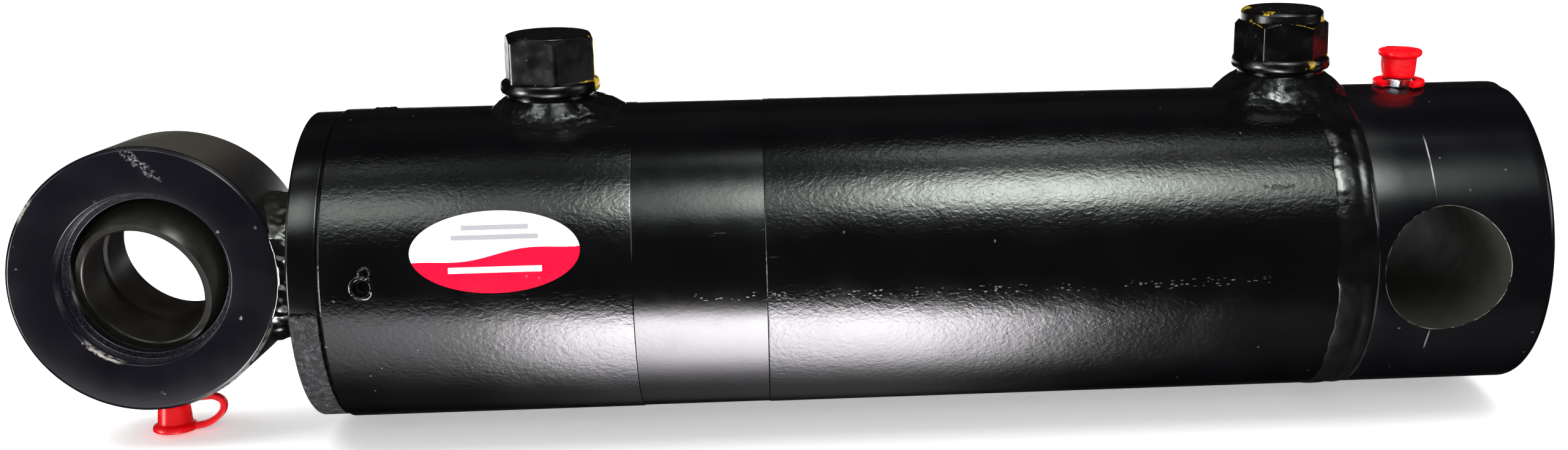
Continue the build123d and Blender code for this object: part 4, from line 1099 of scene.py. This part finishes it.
def strap(name, pts, width, thick, side):
    """Flat strap along a smooth line through pts (mm); side is the direction of its width."""
    pts = [Vector(p) for p in pts]
    ext = [pts[0] * 2 - pts[1]] + pts + [pts[-1] * 2 - pts[-2]]
    line = []
    for i in range(1, len(ext) - 2):
        p0, p1, p2, p3 = ext[i - 1], ext[i], ext[i + 1], ext[i + 2]
        for k in range(10):
            t = k / 10
            line.append(0.5 * ((2 * p1) + (p2 - p0) * t + (2 * p0 - 5 * p1 + 4 * p2 - p3) * t * t + (3 * p1 - p0 - 3 * p2 + p3) * t ** 3))
    line.append(pts[-1])
    side = Vector(side).normalized()
    sec = rounded([(-width / 2, -thick / 2, 0.4), (width / 2, -thick / 2, 0.4), (width / 2, thick / 2, 0.4), (-width / 2, thick / 2, 0.4)], 4)
    P = np.zeros((len(line), len(sec), 3))
    for i, p in enumerate(line):
        d = (line[min(i + 1, len(line) - 1)] - line[max(i - 1, 0)]).normalized()
        n = side.cross(d).normalized()
        f = 1.0 + 0.10 * math.cos(2 * math.pi * i / (len(line) - 1))
        for j, (u, v) in enumerate(sec):
            P[i, j] = p + side * u * f + n * v
    ob = grid_mesh(name, P, wrap_v=True, angle=50)
    bm = bmesh.new(); bm.from_mesh(ob.data)
    bmesh.ops.holes_fill(bm, edges=[e for e in bm.edges if e.is_boundary], sides=0)
    bmesh.ops.recalc_face_normals(bm, faces=bm.faces)
    bm.to_mesh(ob.data); bm.free()
    ob.data.polygons.foreach_set("use_smooth", [True] * len(ob.data.polygons))
    ob.data.set_sharp_from_angle(angle=math.radians(50))
    return ob


finish_piece(nipple("base_nipple", NIPPLE_X, BLOCK_R, 1, 14.5), "barrel", M_ZINC, "zinc_plated_steel", "base_grease_nipple")
finish_piece(turned(nipple("eye_nipple", EYE_X, EYE_R, -1, 20)), "rod", M_ZINC, "zinc_plated_steel", "eye_grease_nipple")
bc = cap("base_cap_thimble", NIPPLE_X, BLOCK_R + 3.0, 1)
finish_piece(bc, "base_cap", M_RED, "red_plastic", "base_grease_cap")
finish_piece(nub("base_cap_pip", (NIPPLE_X + 0.2, -5.15, BLOCK_R + 3.0 + 4.4), 0.75), "base_cap", M_RED, "red_plastic")
ec = cap("eye_cap_thimble", EYE_X, EYE_R + 3.0, -1)
finish_piece(turned(ec), "eye_cap", M_RED, "red_plastic", "eye_grease_cap")
finish_piece(clip("base_clip", NIPPLE_X, BLOCK_R, 1, 0.6, -21.0), "barrel", M_RED, "red_plastic", "base_cap_clip")
finish_piece(turned(clip("eye_clip", EYE_X, EYE_R, -1, 1.9)), "rod", M_RED, "red_plastic", "eye_cap_clip")
b0 = BLOCK_R
bs = strap("base_strap", [(NIPPLE_X, 7.7, b0 + 1.3), (NIPPLE_X, 9.6, b0 + 1.4), (NIPPLE_X, 12.2, b0 + 2.6), (NIPPLE_X, 13.5, b0 + 5.6),
                          (NIPPLE_X, 12.4, b0 + 9.0), (NIPPLE_X, 9.8, b0 + 10.8), (NIPPLE_X, 6.6, b0 + 11.2)], 3.0, 1.7, (1, 0, 0))
finish_piece(bs, None, M_RED, "red_plastic", "base_cap_strap",
             blend=("barrel", "base_cap", (NIPPLE_X * MM, 0.0125, (b0 + 2.6) * MM), (NIPPLE_X * MM, 0.0105, (b0 + 10.3) * MM)))
e0 = -EYE_R
es = strap("eye_strap", [(EYE_X + 7.7, 0, e0 - 1.4), (EYE_X + 10.0, 0, e0 - 1.3), (EYE_X + 13.2, 0, e0 - 1.3), (EYE_X + 15.8, 0, e0 - 2.9),
                         (EYE_X + 15.8, 0, e0 - 5.9), (EYE_X + 13.4, 0, e0 - 8.7), (EYE_X + 10.2, 0, e0 - 10.4), (EYE_X + 6.6, 0, e0 - 11.1)], 3.0, 2.0, (0, 1, 0))
finish_piece(turned(es), None, M_RED, "red_plastic", "eye_cap_strap",
             blend=("rod", "eye_cap", turned_point(EYE_X + 14, 0, e0 - 2.4), turned_point(EYE_X + 10, 0, e0 - 10.0)))

# ------------------------------------------------------------------ stage: floor, light, camera
FLOOR_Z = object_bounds()[0][2] - 0.0005
bpy.ops.mesh.primitive_plane_add(size=16, location=(0, 0, FLOOR_Z))
floor = bpy.context.object; floor.name = "floor"
fm = Mat("floor_pale")
fm.set(Base_Color=fm.mix(fm.ramp(fm.noise(3, 2, 0.5), 0.3, 0.7), (0.90, 0.90, 0.905), (0.915, 0.915, 0.92)), Roughness=0.9)
fm.set(Specular_IOR_Level=0.1)
fm.b.inputs["Emission Color"].default_value = (1.0, 1.0, 1.0, 1.0)
fm.b.inputs["Emission Strength"].default_value = 0.30
floor.data.materials.append(fm.m)
floor.visible_glossy = False


def stops(m, v, pts):
    """Piecewise-linear curve of value v through pts, as a float."""
    out = None
    for (a, fa), (b, fb) in zip(pts, pts[1:]):
        n = m.ramp(v, a, b, 0.0, fb - fa, smooth=False)
        out = n if out is None else m.math("ADD", out, n)
    return m.math("ADD", out, pts[0][1])


def card(name, radius, e0, e1, x0, x1, along, around, tint=(1, 1, 1), flip=False, skew=0.0, skew_x=0.0):
    """Curved reflector around the cylinder's axis, seen by glossy rays alone. along gives its brightness by x, around by elevation."""
    ne, nx = 40, 2
    P = np.zeros((ne, nx, 3))
    for i in range(ne):
        el = math.radians(e0 + (e1 - e0) * i / (ne - 1))
        for j in range(nx):
            P[i, j] = (x0 + (x1 - x0) * j, (1 if flip else -1) * radius * math.cos(el), radius * math.sin(el))
    ob = grid_mesh(name, P / MM)
    m = Mat(name)
    m.t.nodes.remove(m.b)
    em = m.t.nodes.new("ShaderNodeEmission")
    x, y, z = m.xyz()
    el = m.math("MULTIPLY", m.math("ARCTAN2", z, m.math("MULTIPLY", y, 1.0 if flip else -1.0)), 57.29578)
    if skew:
        el = m.math("ADD", el, m.math("MULTIPLY", m.math("SUBTRACT", x, skew_x), skew))
    em.inputs["Color"].default_value = (*tint, 1)
    m.link(m.math("MULTIPLY", stops(m, x, along), stops(m, el, around)), em.inputs["Strength"])
    m.link(em.outputs[0], m.out.inputs[0])
    m.m.cycles.emission_sampling = "NONE"
    ob.data.materials.append(m.m)
    ob.visible_camera = ob.visible_diffuse = ob.visible_shadow = ob.visible_transmission = ob.visible_volume_scatter = False
    return ob


card("card_upper", 0.9, 22, 112, -1.0, 0.75,
     [(-0.95, 2.0), (-0.60, 5.2), (-0.50, 3.6), (-0.44, 1.7), (-0.28, 1.5), (-0.20, 9.0), (-0.12, 20.0), (-0.03, 22.0), (0.02, 17.5), (0.07, 11.0), (0.093, 8.9), (0.12, 7.6), (0.16, 6.4), (0.20, 5.2), (0.27, 2.6), (0.317, 1.4), (0.40, 0.3), (0.6, 0.2)],
     [(24, 0.0), (37, 0.02), (43, 0.55), (48, 1.0), (56, 1.0), (63, 0.40), (69, 0.05), (76, 0.03), (80, 0.06), (85, 0.20), (90, 0.05), (94, 0.0), (108, 0.0)], (0.93, 1.0, 0.94))
card("card_lower", 0.6, -16, -136, -0.9, 0.45,
     [(-0.85, 1.0), (-0.60, 2.0), (-0.47, 3.2), (-0.40, 4.0), (-0.34, 12.0), (-0.28, 24.0), (-0.20, 27.0), (-0.15, 24.0), (-0.11, 15.5), (-0.07, 4.8), (-0.02, 0.8), (0.03, 0.12), (0.4, 0.08)],
     [(-135, 0.0), (-118, 0.006), (-104, 0.010), (-96, 0.018), (-86, 0.055), (-76, 0.20), (-66, 0.50), (-56, 0.74), (-47, 0.92), (-41, 1.0), (-36, 1.0), (-32, 0.68), (-27, 0.13), (-21, 0.0), (-17, 0.0)], (1.0, 0.965, 1.005), skew=28.0, skew_x=-0.24)
card("card_back_upper", 0.9, 30, 75, -1.0, 0.8, [(-0.9, 0.012), (-0.2, 0.03), (0.7, 0.015)],
     [(32, 0.0), (42, 1.0), (58, 1.0), (72, 0.0)], (0.95, 1.0, 0.97), flip=True)
card("card_back_horizon", 0.9, -9, 3, -1.0, 0.8, [(-0.9, 1.0), (-0.2, 3.0), (0.7, 1.2)],
     [(-8, 0.0), (-5, 1.0), (-1, 1.0), (2, 0.0)], (1.0, 1.0, 1.0), flip=True)


def end_card(name, x, y0, z0, half, strength):
    P = np.array([[[x, y0 - half, z0 - half], [x, y0 + half, z0 - half]], [[x, y0 - half, z0 + half], [x, y0 + half, z0 + half]]]) / MM
    ob = grid_mesh(name, P)
    m = Mat(name); m.t.nodes.remove(m.b)
    em = m.t.nodes.new("ShaderNodeEmission"); em.inputs["Strength"].default_value = strength
    m.link(em.outputs[0], m.out.inputs[0])
    m.m.cycles.emission_sampling = "NONE"
    ob.data.materials.append(m.m)
    ob.visible_camera = ob.visible_diffuse = ob.visible_shadow = ob.visible_transmission = ob.visible_volume_scatter = False


end_card("card_right", 1.4, -0.5, 0.5, 0.35, 2.5)
end_card("card_left", -1.6, -0.5, 0.5, 0.35, 2.5)
end_card("card_left_front", -1.2, -0.46, -0.14, 0.18, 22.0)


def area(name, loc, target, sx, sy, power, color=(1, 1, 1), glossy=False):
    L = bpy.data.lights.new(name, "AREA")
    L.shape, L.size, L.size_y, L.energy, L.color = "RECTANGLE", sx, sy, power, color
    ob = bpy.data.objects.new(name, L)
    bpy.context.scene.collection.objects.link(ob)
    ob.location = loc
    ob.rotation_euler = (Vector(target) - Vector(loc)).to_track_quat("-Z", "Y").to_euler()
    ob.visible_glossy = glossy
    return ob


area("key_soft", (-0.85, -0.35, 1.5), (-0.2, 0, 0), 1.1, 1.1, 9)
area("fill_top", (-0.2, 0.3, 2.4), (-0.2, 0, 0), 3.8, 3.8, 92)
area("fill_front", (-0.2, -2.2, 0.9), (-0.2, 0, 0), 2.0, 1.2, 16)

world = bpy.data.worlds.new("studio")
bpy.context.scene.world = world
world.use_nodes = True
wt = world.node_tree
wt.nodes.clear()
wo = wt.nodes.new("ShaderNodeOutputWorld")
bg = wt.nodes.new("ShaderNodeBackground")
bg.inputs["Color"].default_value = (1, 1, 1, 1)
lp = wt.nodes.new("ShaderNodeLightPath")
mr = wt.nodes.new("ShaderNodeMapRange")
mr.inputs["To Min"].default_value, mr.inputs["To Max"].default_value = 0.92, 0.011
wt.links.new(lp.outputs["Is Glossy Ray"], mr.inputs[0])
wt.links.new(mr.outputs[0], bg.inputs["Strength"])
wt.links.new(bg.outputs[0], wo.inputs[0])

cam_d = bpy.data.cameras.new("camera")
cam = bpy.data.objects.new("camera", cam_d)
bpy.context.scene.collection.objects.link(cam)
k = 100.0 / 95.0
C0 = Vector((-202.66499, -540.85779, 150.84086)) * k * MM
pitch, yaw, roll, f = 0.22742, 0.05886, -0.01425, 2900.17
fwd = Vector((math.sin(yaw) * math.cos(pitch), math.cos(yaw) * math.cos(pitch), -math.sin(pitch)))
right = Vector((math.cos(yaw), -math.sin(yaw), 0))
up = right.cross(fwd)
r2 = math.cos(roll) * right + math.sin(roll) * up
u2 = -math.sin(roll) * right + math.cos(roll) * up
cam.matrix_world = Matrix(((r2.x, u2.x, -fwd.x, C0.x), (r2.y, u2.y, -fwd.y, C0.y), (r2.z, u2.z, -fwd.z, C0.z), (0, 0, 0, 1)))
cam_d.sensor_width = 36
cam_d.lens = f * 36 / 2560
cam_d.shift_x = (1280 - 1407.28) / 2560
cam_d.shift_y = (273.37 - 367) / 2560
cam_d.clip_start = 0.01
cam_d.clip_end = 60
cam_d.dof.use_dof = False
bpy.context.scene.camera = cam
bpy.context.scene.view_settings.view_transform = "Standard"
